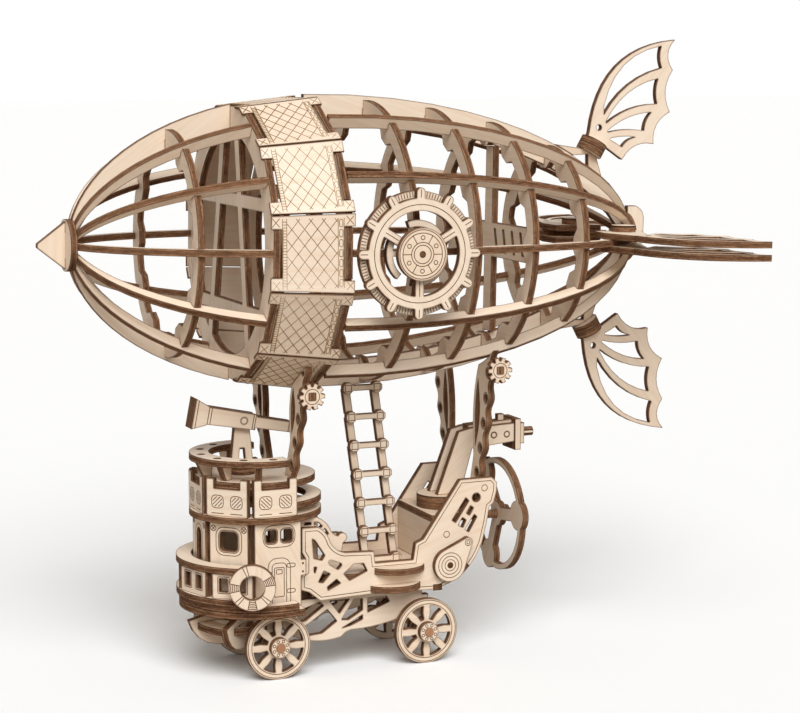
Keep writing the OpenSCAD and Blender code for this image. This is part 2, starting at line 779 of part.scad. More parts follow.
// Walls of the tower, each an upright plate with its own windows; the rear ones stop at the side panels
rear_cut = (hull_half - sheet - wall_gap) / sin(wall_turn) - wall_r;
arch_r = 3.4;
arch_sill = 4;
arch_h = wall_h * 0.68;
port_w = 9;
port_corner = 2;
port_z = wall_h * 0.78;
twin_w = 5.2;
twin_h = 6;
twin_corner = 1.4;
twin_x = 3.7;
twin_z = wall_h * 0.84;
twin_back = 2;
side_back = 2.9;
wall_tab = [2.4, 7.4];
wall_tab_z = 13.8;
module wall2d(k) translate([0, wall_z]) {
    half = wall_side / 2 - wall_gap;
    left = k == 5 ? -rear_cut : k == 2 ? -half - side_back : -half;
    right = k == 3 ? rear_cut : k == 6 ? half + side_back : half;
    aft = k == 2 ? -1 : 1;
    difference() {
        union() {
            translate([left, 0]) square([right - left, wall_h]);
            if (k == 6) translate([right - weld, wall_tab_z]) square(wall_tab + [weld, 0]);
            if (k == 2) translate([left - wall_tab[0], wall_tab_z]) square(wall_tab + [weld, 0]);
        }
        if (k == 0) {
            translate([-arch_r, arch_sill]) square([2 * arch_r, arch_h]);
            translate([0, arch_sill + arch_h]) circle(arch_r);
        }
        if (k == 1 || k == 7)
            translate([0, port_z]) round2d(port_w, port_w, port_corner);
        if (k == 2 || k == 6)
            for (s = [-1, 1])
                translate([s * twin_x + aft * twin_back, twin_z]) round2d(twin_w, twin_h, twin_corner);
    }
}
module at_wall(k, r) translate([tower_x, 0, 0]) rotate(180 - k * wall_turn) plate_yz(r - sheet) children();
module tower_walls() color(pale_wood) place()
    for (k = [0:wall_count - 1])
        at_wall(k, wall_r) wall2d(k);

parapet_step = 1.5;
parapet_r = wall_r + parapet_step;
parapet_half = (parapet_r - sheet) * tan(wall_turn / 2) - wall_gap;
merlon_w = 3.6;
// Sill of the parapet, and the lookout ring that closes the parapet at the rear
module mid_ring() {
    corner_in = 0.6;
    sill_w = 4;
    lookout_w = 7;
    lookout_r = parapet_r / cos(wall_turn / 2) - corner_in;
    reach = 2 * lookout_r;
    color(dark_wood) place() {
        plate_xy(mid_z) translate([tower_x, 0])
            difference() {
                circle(lookout_r);
                circle(wall_r - sheet - sill_w);
            }
        plate_xy(mid_z + 2 * sheet) translate([tower_x, 0])
            difference() {
                circle(lookout_r);
                circle(lookout_r - lookout_w);
                translate([parapet_half + ply_gap - 2 * reach, -reach]) square(2 * reach);
            }
    }
}

module parapets() color(pale_wood) place()
    for (k = [-2:2])
        at_wall(k, parapet_r) {
            translate([-parapet_half, mid_z + sheet]) square([2 * parapet_half, parapet_h]);
            for (s = [-1, 1])
                translate([s * (parapet_half - merlon_w / 2), roof_z + merlon_h / 2])
                    slot2d(merlon_w, merlon_h);
        }

scope_x = tower_x - 6.5;
module roof() color(wood) place() plate_xy(roof_z)
    difference() {
        translate([tower_x, 0]) circle(roof_r);
        translate([tower_x, 0])
            for (k = [-2:2])
                rotate(180 + k * wall_turn)
                    for (s = [-1, 1])
                        translate([parapet_r - sheet - slot_gap, s * (parapet_half - merlon_w / 2)])
                            translate([0, -merlon_w / 2 - slot_gap])
                                square([roof_r, merlon_w + 2 * slot_gap]);
        translate([scope_x, 0]) circle(scope_pin_r + pin_gap);
    }

platform_w = 9;
platform_back = 6.5;
platform_eye_r = 1.7;
platform_eyes = 7;
bracket_count = 5;
bracket_span = 150;
bracket_foot = 4;
bracket_head = 7.5;
module platform2d() translate([tower_x, 0])
    difference() {
        circle(platform_r);
        circle(platform_r - platform_w);
        translate([platform_back, -2 * platform_r]) square(4 * platform_r);
        for (i = [0:platform_eyes - 1])
            rotate(90 + i * 180 / (platform_eyes - 1))
                translate([platform_r - platform_w / 2, 0]) circle(platform_eye_r);
    }
module platform_ring() color(wood) place() plate_xy(platform_z) platform2d();
module platform_brackets() color(dark_wood) place() translate([tower_x, 0, 0])
    for (i = [0:bracket_count - 1])
        rotate(180 - bracket_span / 2 + i * bracket_span / (bracket_count - 1))
            plate_xz(-sheet / 2) {
                r = platform_r - platform_w;
                polygon([[r, roof_z + sheet], [r + bracket_foot, roof_z + sheet],
                    [r + bracket_head, platform_z], [r, platform_z]]);
            }

// Round-bellied keels under the tower, crossed by a ring
keel_turn = 45;
keel_low = wheel_r - 2.5;
keel_r0 = 9;
keel_r1 = balcony_r - base_step - sheet / 2;
keel_ring_z = floor_z - 10;
keel_bow = -7;
keel_toe = 4;
module bow_keels() {
    ring_r = keel_r1 - 5;
    lap_r = ring_r - 4;
    ring_half = 19.5;
    ring_w = 8;
    color(wood) place() translate([tower_x, 0, 0]) {
        for (k = [-1:1])
            rotate(180 + k * keel_turn)
                plate_xz(-sheet / 2)
                    difference() {
                        polygon(concat([[keel_r0, floor_z], [keel_r0, keel_low]],
                            bow([keel_r0 + keel_toe, keel_low], [keel_r1, floor_z], keel_bow)));
                        translate([keel_r0 - weld, keel_ring_z - slot_gap])
                            square([lap_r - keel_r0 + weld, sheet + 2 * slot_gap]);
                    }
        plate_xy(keel_ring_z)
            difference() {
                intersection() {
                    circle(ring_r);
                    translate([-2 * ring_r, -ring_half]) square([2 * ring_r - keel_r0, 2 * ring_half]);
                }
                circle(ring_r - ring_w);
                for (k = [-1:1])
                    rotate(180 + k * keel_turn)
                        translate([lap_r - slot_gap, -sheet / 2 - slot_gap])
                            square([ring_r, sheet + 2 * slot_gap]);
            }
    }
}

// Side panel: front scroll, low waist and raised stern
side_outline = concat(
    from(tower_foot, concat(
        [[13.6, 9], [13.6, 16.1], [15.8, 17.6], [15.9, 23.5], [14.2, 26.3], [14.2, 37.6]],
        bow([22.1, 37.5], [28, 30], 1),
        bow([28, 30], [35, 24.6], -1),
        [[35, 24.6], [49.3, 23.9], [49.9, 18.3]])),
    from(stern_foot, concat(
        [[-34.6, 18.2], [-33.4, 25.9], [-29.5, 27.5], [-11, 54.1], [5.3, 54.2], [7.9, 51.6], [7.7, 47.3],
            [6.2, 41.9], [4, 40.2], [2.8, 33]],
        bow([0.4, 23.6], [-24, 3.2], 4.5, 8),
        [[-24, 3.2]])),
    from(tower_foot, [[47, 4], [22.9, 3.2], [17.5, 7.7]]));
lattice = [
    [[19.1, 32.4], [20.6, 31.4], [25.3, 24.1], [23.8, 21.9], [19.8, 23.2]],
    [[27, 21.1], [28, 21.7], [33.4, 19.6], [33.4, 18.6], [31.7, 16.9], [27.5, 19.6]],
    [[20, 19.3], [21.3, 19], [20.5, 16.2], [19.9, 17]],
    [[24.7, 17], [27.9, 15.3], [24.2, 11.4], [22, 12]],
    [[30.9, 12.6], [32.9, 10.5], [26.7, 7.6], [26.3, 9.3]],
    [[39.4, 18.8], [44.2, 18.8], [46, 15.1], [37.2, 11.3], [34.4, 14.7]]
];
stern_slots = [
    [[-15.1, 35.2], [-13.2, 33.9], [-6.4, 43.8], [-8.1, 45.5]],
    [[-7.8, 38], [-6.1, 36.8], [-4, 40.3], [-5.7, 41.5]],
    [[-11.8, 32.6], [-9.5, 31.3], [-7.8, 34.8], [-9.8, 36.2]],
    [[-8.4, 30.3], [-6.5, 28.9], [-2.3, 35.9], [-3.7, 37.2]]
];
stern_eye = [-2.7, 45.1];
stern_eye_r = 2.1;
module side_panel2d()
    difference() {
        polygon(side_outline);
        for (hole = lattice)
            polygon(from(tower_foot, hole));
        for (hole = stern_slots)
            polygon(from(stern_foot, hole));
        translate(stern_foot + stern_eye) circle(stern_eye_r);
    }
// Rail that follows the scroll inside the panel: a post, a strip over three slots and a curled end
rail_slots = [
    [[16.5, 38.2], [19.8, 38.2], [19.8, 39.4], [16.5, 39.4]],
    [[21.2, 38.1], [22.4, 38], [24.4, 36.4], [25.3, 37.2], [23, 39.3], [21.2, 39.4]],
    [[25.5, 35.2], [27.2, 32.7], [28.3, 33.4], [26.4, 36.1]]
];
rail_curl = [35, 31];
rail_curl_r = 2.3;
module handrail2d() translate(tower_foot) {
    difference() {
        polygon(concat([[13, 18.8], [13, 41.8]],
            bow([22.6, 41.6], [29.5, 34.6], 1),
            bow([29.5, 34.6], [35.2, 31.8], -1),
            [[35.2, 31.8], [35.5, 30.3], [34.5, 23.2], [29, 26.5], [25.5, 31.5], [21.5, 34.8], [17, 34.8],
                [17, 18.8]]));
        for (hole = rail_slots)
            polygon(hole);
    }
    translate(rail_curl) circle(rail_curl_r);
}
cam_at = [-17.2, 14.7];
cam_tip = [-8.1, 24.8];
cam_r = 7.8;
cam_tip_r = 2.4;
cam_neck = [[-3.4, 7], [-1.4, 1.9], [2.2, -0.9], [7.6, -1.6]];
module cam2d() translate(stern_foot) {
    translate(cam_at) circle(cam_r);
    translate(cam_tip) circle(cam_tip_r);
    polygon([cam_at + cam_neck[0], cam_tip + cam_neck[1], cam_tip + cam_neck[2], cam_at + cam_neck[3]]);
}
// Left side: the panel and the cam plate on its face
module side_panel_left() {
    plate_xz(-hull_half - sheet) side_panel2d();
    plate_xz(-hull_half - 2 * sheet - ply_gap) cam2d();
}
module left_side_panel() color(pale_wood) place() side_panel_left();
module right_side_panel() color(pale_wood) place() mirror([0, 1, 0]) side_panel_left();

deck_x0 = tower_x + wall_r + wall_gap;
module main_deck() color(wood) place() {
    plate_xy(deck_z) translate([deck_x0, -hull_half]) square([plate_x - deck_x0, 2 * hull_half]);
    both_sides() plate_xz(-hull_half) handrail2d();
}

shaft_step = 1;
prop_z = stern_z - turn_gap - shaft_r - shaft_step;
turret_x = stern_x - 10;
// Stern structure: front wall, upper deck and the plate that carries the propeller shaft
wall_x = stern_x - 24;
plate_x = stern_x - 13;
stern_end = rear_strut_x + 1.5 * sheet;
module stern_frame() color(wood) place() {
    plate_yz(wall_x) translate([-hull_half, deck_z + sheet]) square([2 * hull_half, stern_rise - ply_gap]);
    plate_xy(stern_z)
        difference() {
            translate([wall_x, -hull_half]) square([stern_end - wall_x, 2 * hull_half]);
            translate([turret_x, 0]) circle(turret_pin_r + pin_gap);
        }
    plate_yz(plate_x)
        difference() {
            translate([-hull_half, deck_z]) square([2 * hull_half, stern_z - deck_z - ply_gap]);
            translate([0, prop_z]) circle(shaft_r + pin_gap);
        }
}

step_len = 25;
step_out = 7;
step_in = 43.5;
step_x = stern_x - step_in;
step_low = 4.8;
step_high = 13;
step_shift = 2;
module boarding_steps() {
    arc_r = (step_len * step_len / 4 + step_out * step_out) / (2 * step_out);
    color(wood) place() both_sides()
        for (z = [floor_z + step_low, floor_z + step_high])
            plate_xy(z) translate([z > floor_z + step_low ? step_shift : 0, 0])
                intersection() {
                    translate([step_x, -hull_half - sheet - step_out + arc_r]) circle(arc_r);
                    translate([step_x - step_len, -hull_half - sheet - 2 * step_out])
                        square([2 * step_len, 2 * step_out]);
                }
}

// Upright plates under the floor that carry the axles
axle_boss_r = 6;
axle_post_half = 3.5;
beam_h = 9;
belly = concat([[4, 1 - beam_h], [4, -beam_h]],
    bow([7, -12.5], [33, -16.2], -2.6, 8),
    bow([33, -16.2], [38, -13.4], 0.6),
    bow([38, -13.4], [66, -beam_h], -1.2),
    [[66, 1 - beam_h]]);
beam_holes = [
    [[12, -2], [22.5, 1.2], [24.3, -0.8], [15.5, -7], [11.5, -7.5]],
    [[12.5, -10.5], [16.5, -8.8], [26, -2.6], [30.8, -8.6], [23.5, -13.6], [15.5, -14.2]],
    [[27.2, 1.2], [37, 1.2], [32, -5.2]],
    [[33, -8.2], [39.2, 0.8], [43.5, 0.8], [43.5, -4.6], [36.5, -8.6]],
    [[33.2, -12.2], [36, -10.8], [43.5, -6.8], [43.5, -9], [37.5, -11.4]],
    [[46, 0.8], [55.5, 0.8], [57, -1.8], [46, -6]]
];
beam_top = floor_z + sheet;
module chassis_plates() color(wood) place() both_sides()
    plate_xz(-chassis_y - sheet)
        difference() {
            union() {
                for (x = [front_axle_x, rear_axle_x]) {
                    translate([x, wheel_r]) circle(axle_boss_r);
                    translate([x - axle_post_half, wheel_r]) square([2 * axle_post_half, floor_z - wheel_r]);
                }
                translate([front_axle_x, floor_z - beam_h]) square([wheelbase, beam_h]);
                translate([tower_x + floor_back + slot_gap, floor_z - weld])
                    square([floor_end - tower_x - floor_back, beam_top - floor_z + weld]);
                translate([front_axle_x, floor_z]) polygon(belly);
            }
            for (x = [front_axle_x, rear_axle_x])
                translate([x, wheel_r]) circle(axle_r + pin_gap);
            for (hole = beam_holes)
                translate([front_axle_x, floor_z]) polygon(hole);
        }

// WHEELS

hub_r = 5.6;
hub_gap = 0.5;
wheel_y = chassis_y + sheet + hub_gap + sheet;
wheel_bore = axle_r + ply_gap;
axle_out = 0.5;
axle_end = wheel_y + 2 * (sheet + ply_gap) + axle_out;
rim_w = 3.3;
cap_r = hub_r - 1;
spoke_half = [1.2, 1.9, 1.5];
module axle(x) color(dark_wood) place() translate([x, 0, wheel_r]) rotate([90, 0, 0])
    cylinder(h = 2 * axle_end, r = axle_r, center = true);
module front_axle() axle(front_axle_x);
module rear_axle() axle(rear_axle_x);

module spoke2d() {
    r = [hub_r - weld, (hub_r + wheel_r - rim_w) / 2, wheel_r - rim_w + weld];
    polygon(concat([for (i = [0:2]) [r[i], -spoke_half[i]]], [for (i = [2:-1:0]) [r[i], spoke_half[i]]]));
}
module wheel2d() difference() {
    union() {
        difference() {
            circle(wheel_r);
            circle(wheel_r - rim_w);
        }
        for (k = [0:spoke_count - 1])
            rotate(k * 360 / spoke_count) spoke2d();
        circle(hub_r);
    }
    circle(wheel_bore);
}
module hub2d(r) difference() {
    circle(r);
    circle(wheel_bore);
}
// Two wheels of an axle, each with an inner hub disc and an outer cap
module wheel_pair(x) color(pale_wood) place() both_sides() translate([x, 0, wheel_r]) {
    plate_xz(-wheel_y) hub2d(hub_r);
    plate_xz(-wheel_y - sheet - ply_gap) wheel2d();
    plate_xz(-wheel_y - 2 * (sheet + ply_gap)) hub2d(cap_r);
}
module front_wheels() wheel_pair(front_axle_x);
module rear_wheels() wheel_pair(rear_axle_x);

// TELESCOPE

scope_pin_r = 2;
scope_base_r = 7;
pivot_r = 1.6;
scope_tilt = 11;
scope_gap = 0.3;
stand_z = scope_z + sheet + ply_gap;
stand_half = [5.5, 3];
stand_top = 2.6;
stand_slot = [[-1.6, 3], [1.6, 3]];
stand_slot_half = 1.1;
stand_slot_top = 13;
module telescope_stand() color(wood) place() translate([scope_x, 0, 0]) {
    translate([0, 0, roof_z]) cylinder(h = sheet + turn_gap, r = scope_pin_r);
    translate([0, 0, scope_z]) cylinder(h = sheet, r = scope_base_r);
    plate_xz(-sheet / 2)
        difference() {
            polygon([[-stand_half[0], stand_z], [stand_half[0], stand_z],
                [stand_half[1], pivot_z + stand_top], [-stand_half[1], pivot_z + stand_top]]);
            translate([0, pivot_z]) circle(pivot_r + pin_gap);
            polygon([[0, stand_z] + stand_slot[0], [0, stand_z] + stand_slot[1],
                [stand_slot_half, pivot_z - stand_slot_top], [-stand_slot_half, pivot_z - stand_slot_top]]);
        }
}
// Outline of the tube about its pivot: bell, barrel and eyepiece
bell_x = -24;
eye_x = 24;
tube_half = [[bell_x, 7], [bell_x + 6, 4.6], [bell_x + 7, 4], [6, 3.6], [6, 2.6], [eye_x, 2.4]];
core_y = sheet / 2 + scope_gap;
stand_room = 6;
module tube2d() polygon(concat([for (q = tube_half) [q[0], -q[1]]], [for (i = [5:-1:0]) tube_half[i]]));
// Two outer plates, two core pieces that leave room for the stand, and the pivot pin
module telescope() color(pale_wood) place() translate([scope_x, 0, pivot_z]) rotate([0, scope_tilt, 0]) {
    both_sides() plate_xz(-core_y - sheet)
        difference() {
            tube2d();
            circle(pivot_r + ply_gap);
        }
    plate_xz(-core_y + ply_gap, 2 * (core_y - ply_gap))
        difference() {
            tube2d();
            slot2d(2 * stand_room, 4 * stand_room);
        }
    plate_xz(-core_y - sheet, 2 * (core_y + sheet)) circle(pivot_r);
}

// GUN

turret_pin_r = 2;
turret_z = stern_z + sheet + turn_gap;
arm_z = turret_z + 2 * sheet + ply_gap;
arm_y = 3.2;
arm_foot = [-5, 7];
arm_neck = [6, 3];
barrel_z = turret_z + 2 * sheet + 26.5;
barrel_x = turret_x + 12;
barrel_end = barrel_x + barrel_len;
barrel_half = 5.4;
barrel_rise = 1.5;
flange_size = [14, 15];
collar_size = [9, 10];
muzzle_r = 2.2;
muzzle_len = 6;
sight_size = [3.2, 5];
sight_in = 5;
// Turntable, two arms that end in the barrel's cheeks, barrel core, flange, collar and muzzle
module gun() color(pale_wood) place() {
    low = barrel_z - barrel_half;
    high = barrel_z + barrel_half;
    translate([turret_x, 0, stern_z]) cylinder(h = sheet + turn_gap, r = turret_pin_r);
    translate([turret_x, 0, turret_z]) cylinder(h = 2 * sheet, r = turret_r);
    both_sides() plate_xz(-arm_y - sheet)
        polygon([[turret_x + arm_foot[0], arm_z], [turret_x + arm_foot[1], arm_z], [barrel_x + weld, low],
            [barrel_end, low + 2 * weld], [barrel_end, high], [barrel_x, high - weld],
            [turret_x + arm_neck[0], barrel_z + arm_neck[1]]]);
    plate_xz(-arm_y + ply_gap, 2 * (arm_y - ply_gap))
        polygon([[barrel_x + weld, low + 2 * weld], [barrel_end, low + 3 * weld],
            [barrel_end, high + barrel_rise], [barrel_x, high]]);
    plate_xz(-sheet / 2)
        translate([barrel_end - sight_in, high + barrel_rise]) slot2d(sight_size[0], sight_size[1]);
    translate([0, 0, barrel_z]) {
        plate_yz(barrel_end + ply_gap) slot2d(flange_size[0], flange_size[1]);
        plate_yz(barrel_end + sheet + 2 * ply_gap) slot2d(collar_size[0], collar_size[1]);
        translate([barrel_end + 2 * sheet + 3 * ply_gap, 0, 0]) rotate([0, 90, 0])
            cylinder(h = muzzle_len, r = muzzle_r);
    }
}

// PROPELLER

prop_x = stern_x + 18.5;
blade_count = 3;
hoop_w = 2.8;
blade_w = 6;
blade_r = 7;
blade_out = 3;
shaft_x0 = plate_x - sheet - turn_gap;
prop_hub_r = 6;
prop_cap_r = 4;
blade_turn = 172;
// Shaft with its collar, hoop with three blades, and the cap on the shaft's end
module propeller() color(wood) place() translate([0, 0, prop_z]) {
    translate([shaft_x0, 0, 0]) rotate([0, 90, 0]) cylinder(h = prop_x + 2 * sheet - shaft_x0, r = shaft_r);
    translate([shaft_x0, 0, 0]) rotate([0, 90, 0]) cylinder(h = sheet, r = shaft_r + shaft_step);
    plate_yz(prop_x)
        difference() {
            union() {
                difference() {
                    circle(prop_r);
                    circle(prop_r - hoop_w);
                }
                circle(prop_hub_r);
                for (k = [0:blade_count - 1])
                    rotate(blade_turn + k * 360 / blade_count) {
                        translate([0, -blade_w / 2]) square([prop_r - hoop_w / 2, blade_w]);
                        translate([prop_r + blade_out - blade_r, 0]) circle(blade_r);
                    }
            }
            circle(shaft_r + ply_gap);
        }
    plate_yz(prop_x + sheet + ply_gap)
        difference() {
            circle(prop_cap_r);
            circle(shaft_r + ply_gap);
        }
}

nose_plate();
nose_disc();
front_longerons();
front_rib();
front_bulkhead();
rear_bulkhead();
band_panels();
rear_longerons();
rib_1();
rib_2();
rib_3();
rib_4();
tail_disc();
cross_beam();
tail_tab();
upper_fin();
upper_fin_collar();
upper_fin_seat();
upper_fin_bracket();
lower_fin();
lower_fin_collar();
lower_fin_seat();
lower_fin_bracket();
left_fin_plates();
right_fin_plates();
side_fin_pins();
emblem_ring();
emblem_back_ring();
emblem_hub();
front_struts();
rear_struts();
strut_gears();
ladder_rungs();
ladder_links();
hull_floor();
base_ring();
balcony_ring();
balcony_panels();
lifebuoy();
tower_walls();
mid_ring();
parapets();
roof();
platform_ring();
platform_brackets();
bow_keels();
left_side_panel();
right_side_panel();
main_deck();
stern_frame();
boarding_steps();
chassis_plates();
front_axle();
front_wheels();
rear_axle();
rear_wheels();
telescope();
telescope_stand();
gun();
propeller();
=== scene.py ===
# %% [markdown]
# # A plywood airship, plate by plate
# The real object is a model cut from thin plywood by a laser and pressed together by hand.
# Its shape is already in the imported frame: every plate has its true outline and place.
# This lesson gives the plates what a cutter leaves on them: a pale veneer with grain, dark burnt
# edges, and fine engraved lines. Each step says what a piece is and why it is made that way.

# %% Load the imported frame
import json
import math
import random
from collections import defaultdict, namedtuple

import bmesh
import bpy
from mathutils import Matrix, Vector


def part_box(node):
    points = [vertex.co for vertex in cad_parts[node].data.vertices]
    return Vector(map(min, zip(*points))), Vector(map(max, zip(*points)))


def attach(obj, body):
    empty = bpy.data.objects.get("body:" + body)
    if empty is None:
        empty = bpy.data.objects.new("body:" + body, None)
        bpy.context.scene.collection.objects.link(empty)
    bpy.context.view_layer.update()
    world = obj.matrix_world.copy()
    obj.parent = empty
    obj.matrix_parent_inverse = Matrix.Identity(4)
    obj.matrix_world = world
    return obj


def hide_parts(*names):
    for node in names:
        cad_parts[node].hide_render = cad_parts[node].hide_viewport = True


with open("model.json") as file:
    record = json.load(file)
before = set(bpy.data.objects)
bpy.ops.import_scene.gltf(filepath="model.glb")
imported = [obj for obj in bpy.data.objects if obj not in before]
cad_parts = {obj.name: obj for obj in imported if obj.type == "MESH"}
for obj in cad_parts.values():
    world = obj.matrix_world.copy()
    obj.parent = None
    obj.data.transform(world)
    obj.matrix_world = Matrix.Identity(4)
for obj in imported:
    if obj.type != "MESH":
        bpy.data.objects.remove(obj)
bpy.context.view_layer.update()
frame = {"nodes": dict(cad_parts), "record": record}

MM = 0.001
scene = bpy.context.scene
body_of = {node: body for body, nodes in frame["record"]["behaviour"]["bodies"].items() for node in nodes}

# %% [markdown]
# ## The camera
# The photograph was taken from the left front, from about the height of the model's top, with a
# long lens. A camera can be placed by eye, but here its angles were fitted to the outline and the
# long edges of the object, so that the render can be laid over the photograph.

# %% Place the camera
PHOTO_WIDTH = 800
FOCAL_PIXELS = 2200
SENSOR_WIDTH = 36
AZIMUTH = math.radians(-22.63)
ELEVATION = math.radians(7.81)
DISTANCE = 1028.1 * MM
TARGET = Vector((13.9, 0, 141.2)) * MM
NEAREST = 50 * MM

level = math.cos(ELEVATION)
back = Vector((math.sin(AZIMUTH) * level, -math.cos(AZIMUTH) * level, math.sin(ELEVATION)))
camera = bpy.data.objects.new("camera", bpy.data.cameras.new("camera"))
scene.collection.objects.link(camera)
camera.location = TARGET + back * DISTANCE
camera.rotation_euler = back.to_track_quat("Z", "Y").to_euler()
camera.data.sensor_width = SENSOR_WIDTH
camera.data.lens = FOCAL_PIXELS * SENSOR_WIDTH / PHOTO_WIDTH
camera.data.clip_start = NEAREST
scene.camera = camera
print("camera lens", round(camera.data.lens, 1), "mm")

# %% [markdown]
# ## Light and floor
# The photograph has a white ground and soft, even light from above and in front.
# A wide sun gives the same light everywhere on the floor, and a dim, slightly warm world fills the
# shade. The level is plain: a white card here renders just about white. World and floor look white
# to the camera, but they throw less light on the object, so that undersides and insides stay dark.
# That choice is made by nodes, so two small helpers for node trees come first.

# %% Two helpers for node trees
MIX_FACTOR, MIX_FIRST, MIX_SECOND, MIX_COLOUR = 0, 6, 7, 2


def add(tree, kind, **settings):
    """A new node with its settings; `sockets` gives values or links by a socket's name or number."""
    made = tree.nodes.new(kind)
    sockets = settings.pop("sockets", {})
    for key, value in settings.items():
        setattr(made, key, value)
    for key, value in sockets.items():
        socket = made.inputs[key]
        if isinstance(value, bpy.types.NodeSocket):
            tree.links.new(value, socket)
        else:
            socket.default_value = value
    return made


def blend(tree, kind, factor, first, second):
    """Two colours mixed. A Mix node has sockets for every kind of value; these are its colour ones."""
    made = add(tree, "ShaderNodeMix", data_type="RGBA", blend_type=kind,
               sockets={MIX_FACTOR: factor, MIX_FIRST: first, MIX_SECOND: second})
    return made.outputs[MIX_COLOUR]

# %% Light the stage
SHADE_FILL, WHITE = (0.29, 0.265, 0.24), (1, 1, 1)
SUN_LEVEL, SUN_WIDTH = 3.2, math.radians(45)
SUN_FROM = Vector((-0.14, -0.7, 0.7))


def by_sight(tree, unseen, seen):
    """One colour for rays that make a picture (of a camera, gloss or glass), another for the rest."""
    paths = add(tree, "ShaderNodeLightPath").outputs
    sight = paths["Is Camera Ray"]
    for ray in ("Is Glossy Ray", "Is Transmission Ray"):
        either = add(tree, "ShaderNodeMath", operation="MAXIMUM", sockets={0: sight, 1: paths[ray]})
        sight = either.outputs[0]
    return blend(tree, "MIX", sight, (*unseen, 1), (*seen, 1))


scene.view_settings.view_transform = "Standard"
world = bpy.data.worlds.new("studio")
scene.world = world
world.use_nodes = True
sky = world.node_tree.nodes["Background"]
world.node_tree.links.new(by_sight(world.node_tree, SHADE_FILL, WHITE), sky.inputs["Color"])

sun = bpy.data.objects.new("softbox", bpy.data.lights.new("softbox", "SUN"))
sun.data.energy = SUN_LEVEL
sun.data.angle = SUN_WIDTH
sun.rotation_euler = SUN_FROM.to_track_quat("Z", "Y").to_euler()
scene.collection.objects.link(sun)
print("sun at level", SUN_LEVEL)

# %% Lay the floor
FLOOR_HALF = 12
FLOOR_THROW, FLOOR_WHITE = (0.45, 0.41, 0.37), (0.97, 0.99, 1.0)
FLOOR_ROUGHNESS = 0.9

floor_mesh = bpy.data.meshes.new("floor")
floor_corners = [(x * FLOOR_HALF, y * FLOOR_HALF, 0) for x, y in ((-1, -1), (1, -1), (1, 1), (-1, 1))]
floor_mesh.from_pydata(floor_corners, [], [(0, 1, 2, 3)])
floor = bpy.data.objects.new("floor", floor_mesh)
scene.collection.objects.link(floor)
floor_paint = bpy.data.materials.new("floor_paint")
floor_paint.use_nodes = True
floor_tree = floor_paint.node_tree
floor_shader = floor_tree.nodes["Principled BSDF"]
floor_shader.inputs["Roughness"].default_value = FLOOR_ROUGHNESS
floor_tree.links.new(by_sight(floor_tree, FLOOR_THROW, FLOOR_WHITE), floor_shader.inputs["Base Color"])
floor_mesh.materials.append(floor_paint)
print("floor", 2 * FLOOR_HALF, "m wide")

# %% [markdown]
# ## Plywood
# A laser leaves two very different surfaces on plywood: the untouched veneer on the face of a
# plate, and the burnt cut on its edge, where the plies show as stripes.
# Both read one attribute, `ply`, which holds each point's place in its own plate: along the grain,
# across it and through the thickness, in millimetres. A pattern on that attribute follows every
# plate, however it is turned. A second attribute, `tone`, makes no two plates quite alike, and a
# third, `rim`, runs from -1 on one face of a plate to 1 on the other, to place the plies in a cut.

# %% Helpers for finishes
NOISE_ROUGHNESS = 0.55
BUMP_STRENGTH = 0.35


def ply_noise(tree, stretch, detail):
    """Noise on the plate's own place, stretched along the grain."""
    place = add(tree, "ShaderNodeAttribute", attribute_name="ply")
    scaled = add(tree, "ShaderNodeVectorMath", operation="MULTIPLY",
                 sockets={0: place.outputs["Vector"], 1: stretch})
    noise = add(tree, "ShaderNodeTexNoise", sockets={
        "Vector": scaled.outputs[0], "Scale": 1.0, "Detail": detail, "Roughness": NOISE_ROUGHNESS})
    return noise.outputs["Fac"]


def ramp(tree, value, *stops):
    """A colour ramp from (place, colour) stops."""
    made = add(tree, "ShaderNodeValToRGB", sockets={"Fac": value})
    elements = made.color_ramp.elements
    while len(elements) < len(stops):
        elements.new(0.5)
    for element, (place, colour) in zip(elements, stops):
        element.position = place
        element.color = (*colour, 1)
    return made.outputs["Color"]


def grey(tree, value, low, high, start=0.0, end=1.0):
    """A value that goes from low to high while another goes from start to end."""
    made = add(tree, "ShaderNodeMapRange", sockets={
        "Value": value, "From Min": start, "From Max": end, "To Min": low, "To Max": high})
    return made.outputs["Result"]


def plate_tone(tree):
    """The number from 0 to 1 that tells one plate from the next."""
    return add(tree, "ShaderNodeAttribute", attribute_name="tone").outputs["Fac"]


def finish_material(name, build):
    """A material whose colour, roughness, bump height, bump depth and gloss come from build(tree)."""
    made = bpy.data.materials.new(name)
    made.use_nodes = True
    tree = made.node_tree
    shader = tree.nodes["Principled BSDF"]
    colour, rough, height, depth, gloss = build(tree)
    tree.links.new(colour, shader.inputs["Base Color"])
    tree.links.new(rough, shader.inputs["Roughness"])
    bump = add(tree, "ShaderNodeBump", sockets={
        "Height": height, "Strength": BUMP_STRENGTH, "Distance": depth})
    tree.links.new(bump.outputs["Normal"], shader.inputs["Normal"])
    shader.inputs["Specular IOR Level"].default_value = gloss
    return made

# %% [markdown]
# Veneer is mostly one colour, with long streaks, fine fibres and a cloudy change from place to place.
# Each of these is a noise, given by its waves in a millimetre: along the grain, across it and through
# the sheet. Where the beam passed, the veneer is singed for less than a millimetre. That border could
# be painted along every outline, but an Ambient Occlusion node that looks inwards finds it by itself:
# near a border, the inside of a plate has a wall close by.

